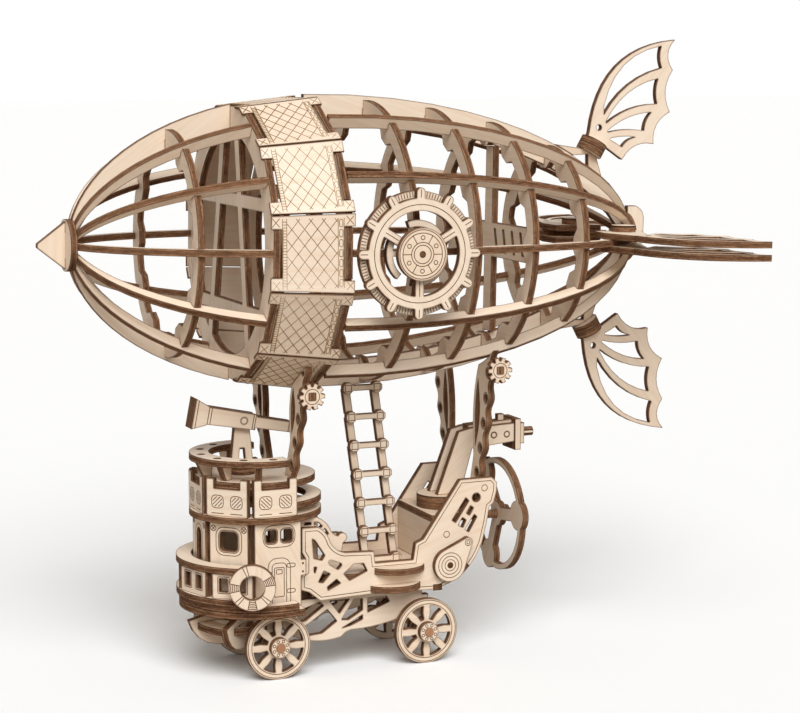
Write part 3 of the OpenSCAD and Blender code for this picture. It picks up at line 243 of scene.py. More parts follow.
# %% The veneer on the face of a plate
DEEP_WOOD, MID_WOOD, PALE_WOOD = (0.80, 0.66, 0.52), (0.845, 0.725, 0.592), (0.87, 0.765, 0.645)
WARM_TINT = (0.93, 0.87, 0.80, 1)
CLOUD_TINT = (0.95, 0.90, 0.85, 1)
FIBRE_TINT = (0.86, 0.78, 0.70, 1)
SINGE_TINT = (0.16, 0.08, 0.04, 1)
SINGED_WIDTH, SINGE_SAMPLES = 0.7 * MM, 8
FIBRE_DEPTH = 0.1 * MM
STREAK_WAVES, FIBRE_WAVES, CLOUD_WAVES = (0.03, 0.55, 0.4), (0.22, 6.0, 3.0), (0.02, 0.05, 0.05)
VENEER_GLOSS = 0.3


def veneer(tree):
    streaks = ply_noise(tree, STREAK_WAVES, detail=4.0)
    fibres = ply_noise(tree, FIBRE_WAVES, detail=2.0)
    clouds = ply_noise(tree, CLOUD_WAVES, detail=2.0)
    wood = ramp(tree, streaks, (0.3, DEEP_WOOD), (0.5, MID_WOOD), (0.72, PALE_WOOD))
    warm = blend(tree, "MULTIPLY", grey(tree, plate_tone(tree), 0.0, 0.6), wood, WARM_TINT)
    cloudy = blend(tree, "MULTIPLY", grey(tree, clouds, 0.0, 0.5), warm, CLOUD_TINT)
    grained = blend(tree, "MULTIPLY", grey(tree, fibres, 0.25, 0.0), cloudy, FIBRE_TINT)
    border = add(tree, "ShaderNodeAmbientOcclusion", inside=True, only_local=True, samples=SINGE_SAMPLES,
                 sockets={"Distance": SINGED_WIDTH}).outputs["AO"]
    singed = grey(tree, border, 0.95, 0.0, start=0.55, end=0.95)
    colour = blend(tree, "MULTIPLY", singed, grained, SINGE_TINT)
    return colour, grey(tree, streaks, 0.62, 0.5), fibres, FIBRE_DEPTH, VENEER_GLOSS


veneer_finish = finish_material("birch_veneer", veneer)
print("finish:", veneer_finish.name)

# %% The burnt cut on its edge
CORE, CORE_RIM, GLUE = (0.20, 0.098, 0.052), (0.25, 0.127, 0.068), (0.06, 0.027, 0.013)
PLY, PLY_RIM, CHAR = (0.33, 0.18, 0.102), (0.37, 0.207, 0.119), (0.03, 0.013, 0.006)
SOOT_TINT = (0.36, 0.31, 0.28, 1)
SPECK_TINT = (0.55, 0.50, 0.46, 1)
LIGHT_CUT = (0.38, 0.21, 0.11, 1)
SOOT_WAVES, SPECK_WAVES = (0.16, 0.16, 1.2), (0.7, 0.7, 2.6)
SPECK_DEPTH = 0.2 * MM
CUT_GLOSS = 0.08


def burnt_cut(tree):
    through = add(tree, "ShaderNodeAttribute", attribute_name="rim").outputs["Fac"]
    depth = add(tree, "ShaderNodeMath", operation="ABSOLUTE", sockets={0: through}).outputs[0]
    plies = ramp(tree, depth, (0.0, CORE), (0.24, CORE_RIM), (0.33, GLUE), (0.42, PLY), (0.78, PLY_RIM),
                 (0.93, CHAR))
    soot = ply_noise(tree, SOOT_WAVES, detail=4.0)
    specks = ply_noise(tree, SPECK_WAVES, detail=3.0)
    sooty = grey(tree, soot, 1.0, 0.0, start=0.32, end=0.62)
    speckly = grey(tree, specks, 1.0, 0.0, start=0.35, end=0.6)
    smoked = blend(tree, "MULTIPLY", sooty, plies, SOOT_TINT)
    speckled = blend(tree, "MULTIPLY", speckly, smoked, SPECK_TINT)
    colour = blend(tree, "MIX", grey(tree, plate_tone(tree), 0.0, 0.18), speckled, LIGHT_CUT)
    return colour, grey(tree, soot, 0.9, 0.75), specks, SPECK_DEPTH, CUT_GLOSS


cut_finish = finish_material("burnt_cut", burnt_cut)
print("finish:", cut_finish.name)

# %% The engraved lines and the dowel
LINE_BROWNS = (0.07, 0.034, 0.016), (0.18, 0.095, 0.045)
FINE_BROWNS = (0.20, 0.115, 0.05), (0.36, 0.22, 0.105)
HEAT_SCALE, HEAT_DEPTH = 260.0, 0.05 * MM
DOWEL_DEEP, DOWEL_PALE = (0.34, 0.165, 0.085), (0.47, 0.25, 0.14)
DOWEL_TINT = (0.7, 0.62, 0.55, 1)
DOWEL_FIBRE_WAVES, DOWEL_RING_WAVES = (2.0, 2.0, 0.15), (0.6, 0.6, 0.03)


def engraved(dark, light):
    """A line's own recipe: it varies between two browns, as the beam slows down in turns."""
    def build(tree):
        place = add(tree, "ShaderNodeTexCoord").outputs["Object"]
        noise = add(tree, "ShaderNodeTexNoise", sockets={
            "Vector": place, "Scale": HEAT_SCALE, "Detail": 2.0})
        heat = noise.outputs["Fac"]
        colour = ramp(tree, heat, (0.3, dark), (0.7, light))
        return colour, grey(tree, heat, 0.9, 0.75), heat, HEAT_DEPTH, CUT_GLOSS
    return build


def turned_dowel(tree):
    fibres = ply_noise(tree, DOWEL_FIBRE_WAVES, detail=3.0)
    rings = ply_noise(tree, DOWEL_RING_WAVES, detail=2.0)
    wood = ramp(tree, rings, (0.35, DOWEL_DEEP), (0.65, DOWEL_PALE))
    colour = blend(tree, "MULTIPLY", grey(tree, fibres, 0.6, 0.0), wood, DOWEL_TINT)
    return colour, grey(tree, fibres, 0.7, 0.5), fibres, FIBRE_DEPTH, VENEER_GLOSS


line_finish = finish_material("engraved_line", engraved(*LINE_BROWNS))
fine_finish = finish_material("fine_line", engraved(*FINE_BROWNS))
dowel_finish = finish_material("turned_dowel", turned_dowel)
print("finishes:", line_finish.name, fine_finish.name, dowel_finish.name)

# %% [markdown]
# ## Plates from the frame
# A frame piece is loose triangles, and its mesh may not be changed. So each piece is copied, its
# points are merged, and every separate solid in it is measured: the direction in which most of its
# area looks is the normal of its sheet, and its longest reach in that sheet is taken as the grain.
# Faces that look along the normal are veneer, and all others are burnt cuts. The rings at the end of
# the gun are the exception: the photograph shows pale veneer on their sides, so their normal is set.

# %% Measure the solids of a piece
def solids_of(bm):
    """The faces of each separate solid."""
    found, groups = set(), []
    for start in bm.faces:
        if start in found:
            continue
        stack, group = [start], []
        found.add(start)
        while stack:
            face = stack.pop()
            group.append(face)
            for edge in face.edges:
                for other in edge.link_faces:
                    if other not in found:
                        found.add(other)
                        stack.append(other)
        groups.append(group)
    return groups


def sheet_normal(faces):
    """The direction, either way, in which most of the area looks."""
    areas = defaultdict(float)
    for face in faces:
        normal = face.normal
        if max(normal, key=abs) < 0:
            normal = -normal
        areas[tuple(round(part, 2) for part in normal)] += face.calc_area()
    return Vector(max(areas, key=areas.get)).normalized()


def grain_frame(points, normal):
    """Middle of the sheet and its axes along and across the grain."""
    side = normal.orthogonal().normalized()
    other = normal.cross(side)
    flat = [(point.dot(side), point.dot(other)) for point in points]
    mid_a = sum(a for a, b in flat) / len(flat)
    mid_b = sum(b for a, b in flat) / len(flat)
    aa = sum((a - mid_a) ** 2 for a, b in flat)
    bb = sum((b - mid_b) ** 2 for a, b in flat)
    ab = sum((a - mid_a) * (b - mid_b) for a, b in flat)
    turn = 0.5 * math.atan2(2 * ab, aa - bb)
    along = side * math.cos(turn) + other * math.sin(turn)
    heights = [point.dot(normal) for point in points]
    middle = side * mid_a + other * mid_b + normal * (max(heights) + min(heights)) / 2
    return middle, along, normal.cross(along)

# %% Copy a piece as veneer and burnt cuts
AFT, SIDE, UP = Vector((1, 0, 0)), Vector((0, 1, 0)), Vector((0, 0, 1))
SMOOTH_ANGLE = math.radians(25)
FACE_LOOK = 0.97
MERGE_DISTANCE = 0.001 * MM
NOISE_REACH = 900
VENEER, CUT, DOWEL = range(3)
tones = random.Random(7)


def mark_solid(bm, group, node):
    """Give one solid's points their places in the sheet, and its faces their finishes."""
    ply = bm.verts.layers.float_vector["ply"]
    tone = bm.verts.layers.float["tone"]
    rim = bm.verts.layers.float["rim"]
    points = list(dict.fromkeys(vert for face in group for vert in face.verts))
    normal = sheet_normal(group)
    if node == "gun" and abs(normal.x) > FACE_LOOK:
        normal = SIDE
    middle, along, across = grain_frame([point.co for point in points], normal)
    shade = tones.random()
    start = Vector((tones.uniform(0, NOISE_REACH), tones.uniform(0, NOISE_REACH), 0))
    half = max((point.co - middle).dot(normal) for point in points)
    for point in points:
        away = point.co - middle
        point[ply] = start + Vector((away.dot(along), away.dot(across), away.dot(normal))) / MM
        point[tone] = shade
        point[rim] = away.dot(normal) / half
    for face in group:
        face.smooth = True
        face.material_index = VENEER if abs(face.normal.dot(normal)) > FACE_LOOK else CUT
        if node.endswith("axle"):
            face.material_index = DOWEL


def cut_plate(node):
    """A copy of a piece with its finishes, which rides in the piece's stead."""
    source = frame["nodes"][node].data
    mesh = bpy.data.meshes.new("cut_" + node)
    mesh.from_pydata([v.co for v in source.vertices], [], [p.vertices[:] for p in source.polygons])
    bm = bmesh.new()
    bm.from_mesh(mesh)
    bmesh.ops.remove_doubles(bm, verts=bm.verts, dist=MERGE_DISTANCE)
    bm.normal_update()
    bm.verts.layers.float_vector.new("ply")
    bm.verts.layers.float.new("tone")
    bm.verts.layers.float.new("rim")
    for group in solids_of(bm):
        mark_solid(bm, group, node)
    bm.to_mesh(mesh)
    bm.free()
    for finish in (veneer_finish, cut_finish, dowel_finish):
        mesh.materials.append(finish)
    mesh.set_sharp_from_angle(angle=SMOOTH_ANGLE)
    piece = bpy.data.objects.new("cut_" + node, mesh)
    scene.collection.objects.link(piece)
    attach(piece, body_of[node])
    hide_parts(node)
    return piece


plates = {node: cut_plate(node) for node in frame["nodes"]}
print(len(plates), "pieces cut,", sum(len(piece.data.polygons) for piece in plates.values()), "triangles")

# %% [markdown]
# ## The engraver's pen
# The laser also draws, with less power: frames round windows, bolts, a lattice on the band.
# A burnt line is a thin dark bead that follows a path, so all lines of a piece are first kept as
# plain paths. A `Face` is a sheet of drawing paper laid on one face of a piece: it takes points in
# millimetres, right and up from its own origin, and puts them into the model.
# Ends of tenons and dowels that show in a face are kept as a second list, the pegs.

# %% A sheet of drawing paper on a face
SUNK = 0.15
RING_LEAST, RING_POINTS = 10, 5
CORNER_STEPS = 4
SLOT_REACH = 0.6
Peg = namedtuple("Peg", "place turn size round")
paths_of = defaultdict(list)
pegs_of = defaultdict(list)


def polar(radius, degrees):
    """A point at a distance and a turn from the middle of a drawing."""
    turn = math.radians(degrees)
    return radius * math.cos(turn), radius * math.sin(turn)


class Face:
    """Drawing paper on a face of a piece, with its origin, its right and up, and its way out."""

    def __init__(self, node, origin, right, up, out):
        self.node, self.origin, self.right, self.up, self.out = node, origin, right, up, out

    def at(self, u, v, lift=0.0):
        return (self.origin + self.right * u + self.up * v + self.out * lift) * MM

    def line(self, points, closed=False):
        paths_of[self.node].append(([self.at(u, v, -SUNK) for u, v in points], closed))

    def spoke(self, degrees, inner, outer):
        self.line([polar(radius, degrees) for radius in (inner, outer)])

    def ring(self, u, v, radius, start=0, end=360):
        whole = end - start == 360
        count = max(RING_LEAST, round(radius * RING_POINTS * (end - start) / 360))
        steps = [polar(radius, start + (end - start) * i / count) for i in range(count + (not whole))]
        self.line([(u + du, v + dv) for du, dv in steps], closed=whole)

    def frame(self, u, v, width, height, corner, open_below=False):
        corners = [(1, 1, 0), (-1, 1, 90), (-1, -1, 180), (1, -1, 270)]
        points = []
        for x, y, start in corners[:2] if open_below else corners:
            for i in range(CORNER_STEPS + 1):
                du, dv = polar(corner, start + 90 * i / CORNER_STEPS)
                points.append((u + x * (width / 2 - corner) + du, v + y * (height / 2 - corner) + dv))
        if open_below:
            points = [(u + width / 2, v - height / 2), *points, (u - width / 2, v - height / 2)]
        self.line(points, closed=not open_below)

    def screw(self, u, v, radius):
        self.ring(u, v, radius)
        reach = radius * SLOT_REACH
        for lean in (1, -1):
            self.line([(u - reach, v - reach * lean), (u + reach, v + reach * lean)])

    def peg(self, u, v, width, height=0, turn=0):
        """The end of a dowel or, where a height is given, of a square-cut tenon."""
        turned = Matrix.Rotation(math.radians(turn), 3, self.out)
        basis = Matrix((turned @ self.right, turned @ self.up, self.out)).transposed()
        size = (width * MM, (height or width) * MM, 0)
        pegs_of[self.node].append(Peg(self.at(u, v), tuple(basis.to_euler()), size, not height))


low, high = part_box("roof")
tower = Vector(((low.x + high.x) / 2 / MM, 0, 0))
print("the tower's axis stands at x =", round(tower.x, 2), "mm")

# %% [markdown]
# ## Tower
# The tower is eight upright walls and a parapet. The five walls towards the bow have drawings: an
# arch in front, a porthole on the slanted walls, and a pipe-framed door under twin windows on the
# sides. Working on a wall's own face keeps the numbers simple; the two sides are mirror images.
# A frame is given by its width, its height and the radius of its corners, and a name in the plural
# holds places along the face.

# %% Drawings for the front and the slanted walls
ARCH_R, ARCH_FOOT, ARCH_SPRING = 5.1, 2.4, 30.5
PORTHOLE_Z, PORTHOLE_FRAMES = 30.4, ((12.8, 12.8, 3.6), (10.2, 10.2, 2.6))


def draw_arch(wall):
    wall.line([(-ARCH_R, ARCH_FOOT), (-ARCH_R, ARCH_SPRING)])
    wall.ring(0, ARCH_SPRING, ARCH_R, 0, 180)
    wall.line([(ARCH_R, ARCH_SPRING), (ARCH_R, ARCH_FOOT)])


def draw_porthole(wall):
    for size in PORTHOLE_FRAMES:
        wall.frame(0, PORTHOLE_Z, *size)

# %% The drawing for the side walls
WINDOWS_Z, WINDOWS_FRAME = 32.8, (15.2, 10.2, 4.2)
PANES, PANE_FRAME = (-1.7, 5.7), (6.2, 7.0, 1.9)
DOOR_U = 2
PIPE_Z, PIPE_FRAME = 12.2, (10.6, 21, 4)
JAMB_Z, JAMB_FRAME = 11, (6.8, 18.8, 2)
LEAF_Z, LEAF_FRAME = 11.6, (4.6, 13.4, 0.5)
HATCH_Z, HATCH_FRAME = 16.4, (2.7, 2, 0.4)
LATCH_ENDS = -3.3, -1.4
CLAMP_U, CLAMP_HEIGHTS, CLAMP_FRAME = 7.6, (19, 7.3), (4, 1.7, 0.8)
NAIL_U, NAIL_HEIGHTS, NAIL_WIDTH = 13.3, (15.6, 19.4), 1


def draw_door(wall, aft):
    """A door in a pipe frame under twin windows; aft is 1 where the stern lies right, else -1."""
    wall.frame(DOOR_U * aft, WINDOWS_Z, *WINDOWS_FRAME)
    for u in PANES:
        wall.frame(u * aft, WINDOWS_Z, *PANE_FRAME)
    wall.frame(DOOR_U * aft, PIPE_Z, *PIPE_FRAME, open_below=True)
    wall.frame(DOOR_U * aft, JAMB_Z, *JAMB_FRAME, open_below=True)
    wall.frame(DOOR_U * aft, LEAF_Z, *LEAF_FRAME)
    wall.frame(DOOR_U * aft, HATCH_Z, *HATCH_FRAME)
    wall.line([(u * aft, HATCH_Z) for u in LATCH_ENDS])
    for v in CLAMP_HEIGHTS:
        wall.frame(CLAMP_U * aft, v, *CLAMP_FRAME)
    for v in NAIL_HEIGHTS:
        wall.peg(NAIL_U * aft, v, NAIL_WIDTH)

# %% Draw on the walls
WALLS, WALL_R, WALL_Z = range(-2, 3), 27, 34.2
SCREWS, SCREW_Z, SCREW_R = (-7.7, 7.5), 36.1, 1.35


def tower_face(node, turn, radius, z):
    """Paper on an upright face that looks away from the tower's axis."""
    out = Vector((math.cos(turn), math.sin(turn), 0))
    return Face(node, tower + out * radius + UP * z, UP.cross(out), UP, out)


def wall_turn(k):
    """Where wall k looks: 0 looks to the bow, and each next one an eighth of a turn further."""
    return math.pi - k * math.pi / 4


for k in WALLS:
    wall = tower_face("tower_walls", wall_turn(k), WALL_R, WALL_Z)
    if abs(k) < 2:
        for u in SCREWS:
            wall.screw(u, SCREW_Z, SCREW_R)
    if k == 0:
        draw_arch(wall)
    elif abs(k) == 1:
        draw_porthole(wall)
    else:
        draw_door(wall, aft=-math.copysign(1, k))
print(len(paths_of["tower_walls"]), "lines on the walls")

# %% Draw on the parapet and the balcony's rail
PARAPET_R, PARAPET_Z = 28.5, 76.2
LIGHTS, LIGHT_Z, LIGHT_FRAME = (-4.7, 4.7), 6.7, (5.8, 5.8, 1.9)
STRIPES, STRIPE_REACH = (-2.6, -0.9, 0.9, 2.6), 2.3
SILL_Z, SILL_HALF = 1.4, 3
RAILS, RAIL_R, RAIL_Z = (126, 162, 198, 234), 35, 46.54
GAPS, GAP_FRAME = (-4.2, 4.2), (5.4, 7.6, 0.6)

for k in WALLS:
    parapet = tower_face("parapets", wall_turn(k), PARAPET_R, PARAPET_Z)
    lean = 1 if k % 2 else -1
    for u in LIGHTS:
        parapet.frame(u, LIGHT_Z, *LIGHT_FRAME)
        for shift in STRIPES:
            ends = max(-STRIPE_REACH, -STRIPE_REACH - shift), min(STRIPE_REACH, STRIPE_REACH - shift)
            parapet.line([(u + (shift + t) * lean, LIGHT_Z + t) for t in ends])
        parapet.line([(u - SILL_HALF, SILL_Z), (u + SILL_HALF, SILL_Z)])
for degrees in RAILS:
    rail = tower_face("balcony_panels", math.radians(degrees), RAIL_R, RAIL_Z)
    for u in GAPS:
        rail.frame(u, 0, *GAP_FRAME)
print(len(paths_of["parapets"]), "lines on the parapet")

# %% [markdown]
# The lifebuoy hangs on the balcony's rail. Its rope is only drawn: three wraps like short ladders
# and three double straps.

# %% Draw on the lifebuoy
BUOY_TURN, BUOY_R, BUOY_Z = math.radians(249), 39.6, 46.74
BUOY_INNER, BUOY_OUTER = 5.8, 10.1
WRAPS, WRAP_HALF, WRAP_RADII = (180, 20, 270), 12, (6.4, 7.2, 8.0, 8.8, 9.6)
STRAPS, STRAP_HALF = (225, 318, 110), 5

buoy = tower_face("lifebuoy", BUOY_TURN, BUOY_R, BUOY_Z)
for middle in WRAPS:
    for side in (-WRAP_HALF, WRAP_HALF):
        buoy.spoke(middle + side, BUOY_INNER, BUOY_OUTER)
    for radius in WRAP_RADII:
        buoy.ring(0, 0, radius, middle - WRAP_HALF, middle + WRAP_HALF)
for middle in STRAPS:
    for side in (-STRAP_HALF, STRAP_HALF):
        buoy.spoke(middle + side, BUOY_INNER, BUOY_OUTER)
print(len(paths_of["lifebuoy"]), "lines on the lifebuoy")

# %% [markdown]
# ## Hull sides
# Each side panel has a border line that keeps the same distance from its outline. The outline is
# traced on the piece itself: an edge with a veneer face on one side only lies on a border, and the
# longest loop of such edges is the outer one. Moving every corner inwards gives the border line.

# %% Trace and shrink an outline
DEPTH_SLACK = 0.1
STRAIGHT = 0.9999


def outline(node, out, depth):
    """The longest border loop of the faces that look along `out` at a depth in millimetres."""
    mesh = plates[node].data
    following = {}
    for face in mesh.polygons:
        if face.normal.dot(out) > FACE_LOOK and abs(face.center.dot(out) / MM - depth) < DEPTH_SLACK:
            corners = list(face.vertices)
            for a, b in zip(corners, corners[1:] + corners[:1]):
                if following.get(b) and a in following[b]:
                    following[b].remove(a)
                else:
                    following.setdefault(a, []).append(b)
    loops = []
    while any(following.values()):
        here = next(a for a, ends in following.items() if ends)
        loop = []
        while following.get(here):
            loop.append(mesh.vertices[here].co / MM)
            here = following[here].pop()
        loops.append(loop)
    return max(loops, key=lambda loop: sum((a - b).length for a, b in zip(loop, loop[1:])))


def shrunk(loop, out, inset):
    """The loop moved inwards by a fixed distance."""
    corners = [b for a, b, c in zip(loop[-1:] + loop, loop, loop[1:] + loop[:1])
               if (b - a).normalized().dot((c - b).normalized()) < STRAIGHT]
    moved = []
    for a, b, c in zip(corners[-1:] + corners, corners, corners[1:] + corners[:1]):
        first, second = out.cross((b - a).normalized()), out.cross((c - b).normalized())
        moved.append(b + (first + second) * inset / (1 + first.dot(second)))
    return moved

# %% Draw on the hull's sides
PANEL_FACE, BORDER_INSET = 23.5, 1.6
BOLTS, BOLT_R = ((105.0, 80.5), (85.7, 60.0)), 1.5
STERN_TENON, STERN_TENON_TURN = (94.9, 43.4, 4.6, 2.6), -48
DECK_TENON = 81.2, 35.3, 4.6, 3.0
CAM_FACE, CAM_EYE, CAM_RINGS, CAM_DOWEL = 26.52, (86.3, 45.9), (2.7, 4.3, 5.9), 3.0
CAM_TIP, TIP_RINGS = (95.4, 56.0), (0.8, 1.6)

for side, node in ((-1, "left_side_panel"), (1, "right_side_panel")):
    out = SIDE * side
    border = shrunk(outline(node, out, PANEL_FACE), out, BORDER_INSET)
    panel = Face(node, tower + out * PANEL_FACE, AFT, UP, out)
    panel.line([((p - tower).x, p.z) for p in border], closed=True)
    for u, v in BOLTS:
        panel.ring(u, v, BOLT_R)
    panel.peg(*STERN_TENON, turn=STERN_TENON_TURN * side)
    panel.peg(*DECK_TENON)
    cam = Face(node, tower + out * CAM_FACE, AFT, UP, out)
    for radius in CAM_RINGS:
        cam.ring(*CAM_EYE, radius)
    cam.peg(*CAM_EYE, CAM_DOWEL)
    for radius in TIP_RINGS:
        cam.ring(*CAM_TIP, radius)
print("border line with", len(border), "corners")

# %% [markdown]
# ## Wheels, ladder, telescope, gun and gears
# Round pieces get circles, and every place where a real tenon or dowel comes through gets its mark.
# The rungs and the gears are many, so their places are measured on the pieces, not written down.

# %% Draw on the wheels and the ladder
AXLES, AXLE_Z = (("front_wheels", 2.3), ("rear_wheels", 75.3)), 15.3
TYRE_FACE, TYRE_RINGS = 24.52, (12.8, 14.5)
CAP_FACE, CAP_BOLTS, CAP_BOLT_CIRCLE, CAP_BOLT_R = 27.54, 8, 3.3, 0.65
RUNG_ENDS, RUNG_FRAME = (-7.1, 7.1), (3, 3, 0.3)


def boxes_of(node):
    """Low and high corner, in millimetres, of every separate solid of a piece."""
    bm = bmesh.new()
    bm.from_mesh(plates[node].data)
    found = []
    for group in solids_of(bm):
        points = [vert.co / MM for face in group for vert in face.verts]
        found.append((Vector(map(min, zip(*points))), Vector(map(max, zip(*points)))))
    bm.free()
    return found


for node, x in AXLES:
    for out in (-SIDE, SIDE):
        tyre = Face(node, tower + AFT * x + UP * AXLE_Z + out * TYRE_FACE, AFT, UP, out)
        for radius in TYRE_RINGS:
            tyre.ring(0, 0, radius)
        cap = Face(node, tower + AFT * x + UP * AXLE_Z + out * CAP_FACE, AFT, UP, out)
        for i in range(CAP_BOLTS):
            cap.ring(*polar(CAP_BOLT_CIRCLE, 360 * (i + 0.5) / CAP_BOLTS), CAP_BOLT_R)

rungs = boxes_of("ladder_rungs")
for low, high in rungs:
    middle = (low + high) / 2
    rung = Face("ladder_rungs", Vector((middle.x, low.y, middle.z)), AFT, UP, -SIDE)
    for u in RUNG_ENDS:
        rung.frame(u, 0, *RUNG_FRAME)
print(len(rungs), "rungs")

# %% Draw on the telescope, the gun and the gears
TUBE_X, TUBE_Z, TUBE_FACE, TUBE_TILT = -6.5, 116.5, 4.8, math.radians(11)
TUBE_BANDS = (-22.6, 6.2), (-17.2, 4.0), (-15.9, 3.8), (4.4, 3.5), (5.4, 3.5), (21.8, 2.2)
GUN_Z, GUN_FACE = 101.6, 6.2
GUN_BOLTS, GUN_BOLT_RINGS = ((117.8, 0.3), (124.6, 0.3)), (1.6, 1.2)
GEAR_RING = 3.4


def tipped(turn):
    """The ways aft and up on a piece that is tipped nose-up by a turn."""
    return Vector((math.cos(turn), 0, -math.sin(turn))), Vector((math.sin(turn), 0, math.cos(turn)))


tube_aft, tube_up = tipped(TUBE_TILT)
for out in (-SIDE, SIDE):
    tube = Face("telescope", tower + AFT * TUBE_X + UP * TUBE_Z + out * TUBE_FACE, tube_aft, tube_up, out)
    for u, half in TUBE_BANDS:
        tube.line([(u, -half), (u, half)])
    gun = Face("gun", tower + UP * GUN_Z + out * GUN_FACE, AFT, UP, out)
    for u, v in GUN_BOLTS:
        for radius in GUN_BOLT_RINGS:
            gun.ring(u, v, radius)

gears = boxes_of("strut_gears")
for low, high in gears:
    middle = (low + high) / 2
    outer = high.y if middle.y > 0 else low.y
    gear = Face("strut_gears", Vector((middle.x, outer, middle.z)), AFT, UP, SIDE * math.copysign(1, outer))
    gear.ring(0, 0, GEAR_RING)
print(len(gears), "gears")

# %% [markdown]
# The struts are chains of eyes. A ring round each eye makes it read as a link; its place follows the
# strut's own sway from foot to head.

# %% Draw on the struts
EYE_RING, EYE_OUT, SWAY = 2.8, 1.9, 0.8
STRUTS = (("front_struts", 10.5, 5, (16, 91.7), (36, 148)),
          ("rear_struts", 103.5, 7, (10.9, 68.8), (32, 154)))

for node, x, eyes, (foot_y, foot_z), (head_y, head_z) in STRUTS:
    for out in (-SIDE, SIDE):
        strut = Face(node, tower + AFT * x, out, UP, -AFT)
        for i in range(eyes - 1):
            t = (i + 0.5) / eyes
            sway = SWAY * (1 - math.cos(2 * math.pi * t)) + EYE_OUT
            strut.ring(foot_y + (head_y - foot_y) * t + sway, foot_z + (head_z - foot_z) * t, EYE_RING)
    print(node, "with", eyes - 1, "rings a strut")

# %% [markdown]
# ## Emblem
# The emblem is a plain gear wheel: a ring with lugs, a hub, and a back ring that shows between the
# lugs with fine ticks like the winding of a coil. The whole envelope is tipped nose-up by one
# degree, so its paper is tipped as well.

# %% Draw on the emblem
ENVELOPE_PITCH = math.radians(1)
RING_CIRCLE = 21.2
LUGS, LUG_LINE = 12, (24.2, 27.6)
ARMS, ARM_START, ARM_LINE = 3, 30, (11.8, 18.6)
TICKS, LUG_TICKS, TICKS_HIDDEN, TICK_LINE = 120, 10, (0, 1, 9), (24.3, 26.6)
HUB_CIRCLES, HUB_DOWEL = (4.0, 5.2, 9.2, 10.6), 3
CELLS, CELL_LINE, HOLE_CIRCLE, HOLE_R = 6, (5.2, 9.2), 7.2, 0.9

envelope_aft, envelope_up = tipped(ENVELOPE_PITCH)


def emblem_face(node):
    low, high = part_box(node)
    middle = Vector(((low.x + high.x) / 2, low.y, (low.z + high.z) / 2))
    return Face(node, middle / MM, envelope_aft, envelope_up, -SIDE)


ring = emblem_face("emblem_ring")
ring.ring(0, 0, RING_CIRCLE)
for i in range(LUGS):
    ring.spoke(360 * i / LUGS, *LUG_LINE)
for i in range(ARMS):
    ring.spoke(ARM_START + 360 * i / ARMS, *ARM_LINE)
coil = emblem_face("emblem_back_ring")
for i in range(TICKS):
    if i % LUG_TICKS not in TICKS_HIDDEN:
        coil.spoke(360 * i / TICKS, *TICK_LINE)
hub = emblem_face("emblem_hub")
for radius in HUB_CIRCLES:
    hub.ring(0, 0, radius)
for i in range(CELLS):
    hub.spoke(360 * i / CELLS, *CELL_LINE)
    hub.ring(*polar(HOLE_CIRCLE, 360 * (i + 0.5) / CELLS), HOLE_R)
hub.peg(0, 0, HUB_DOWEL)
print(len(paths_of["emblem_back_ring"]), "ticks on the coil")

# %% [markdown]
# ## Band
# Twelve thin panels go round the envelope. Their drawing is a diamond lattice between a strip of
# ticks in front and a row of rounded slots behind, with a cross on each corner tab.
# The panels are turned twelve ways, so each one's paper is found from its own normal.
# Places are measured from a panel's front border, or from its rear border where the name says so.

# %% Drawings for a panel of the band
PANEL_MARGIN = 1.2
DIAMOND_RUN, DIAMOND_SLOPE, DIAMOND_LEAST = 5.6, 1.25, 0.8
LATTICE_FRONT, LATTICE_FROM_REAR = 7.3, 8
RULES, RULES_FROM_REAR = (5.3, 7.1), (7.8, 5.2)
TICK_STEP, TICK_ENDS = 1.25, (5.5, 6.9)
SLOTS, SLOT_FROM_REAR, SLOT_FRAME = 7, 6.5, (1.5, 3.2, 0.7)
TAB_FRONT, TAB_FROM_REAR, TAB_RUN = 0.9, 4.1, 3.2
TAB_INNER, TAB_OUTER = 4.6, 0.9


def draw_lattice(panel, run, half):
    first, last, lead = LATTICE_FRONT, run - LATTICE_FROM_REAR, half / DIAMOND_SLOPE
    for sign in (-1, 1):
        start = first - lead
        while start < last + lead:
            ends = max(first, start - lead), min(last, start + lead)
            if ends[1] - ends[0] > DIAMOND_LEAST:
                panel.line([(u, sign * DIAMOND_SLOPE * (u - start)) for u in ends])
            start += DIAMOND_RUN


def draw_strips(panel, run, half):
    for u in (*RULES, *(run - back_by for back_by in RULES_FROM_REAR)):
        panel.line([(u, -half), (u, half)])
    ticks = round(2 * half / TICK_STEP)
    for i in range(1, ticks):
        panel.line([(u, -half + 2 * half * i / ticks) for u in TICK_ENDS])
    for i in range(SLOTS):
        panel.frame(run - SLOT_FROM_REAR, (i - SLOTS // 2) * 2 * half / SLOTS, *SLOT_FRAME)


def draw_crosses(panel, u, half):
    for sign in (-1, 1):
        inner, outer = sign * (half - TAB_INNER), sign * (half - TAB_OUTER)
        panel.line([(u, inner), (u + TAB_RUN, outer)])
        panel.line([(u, outer), (u + TAB_RUN, inner)])

# %% Draw on the band
BORDER_REACH = 1

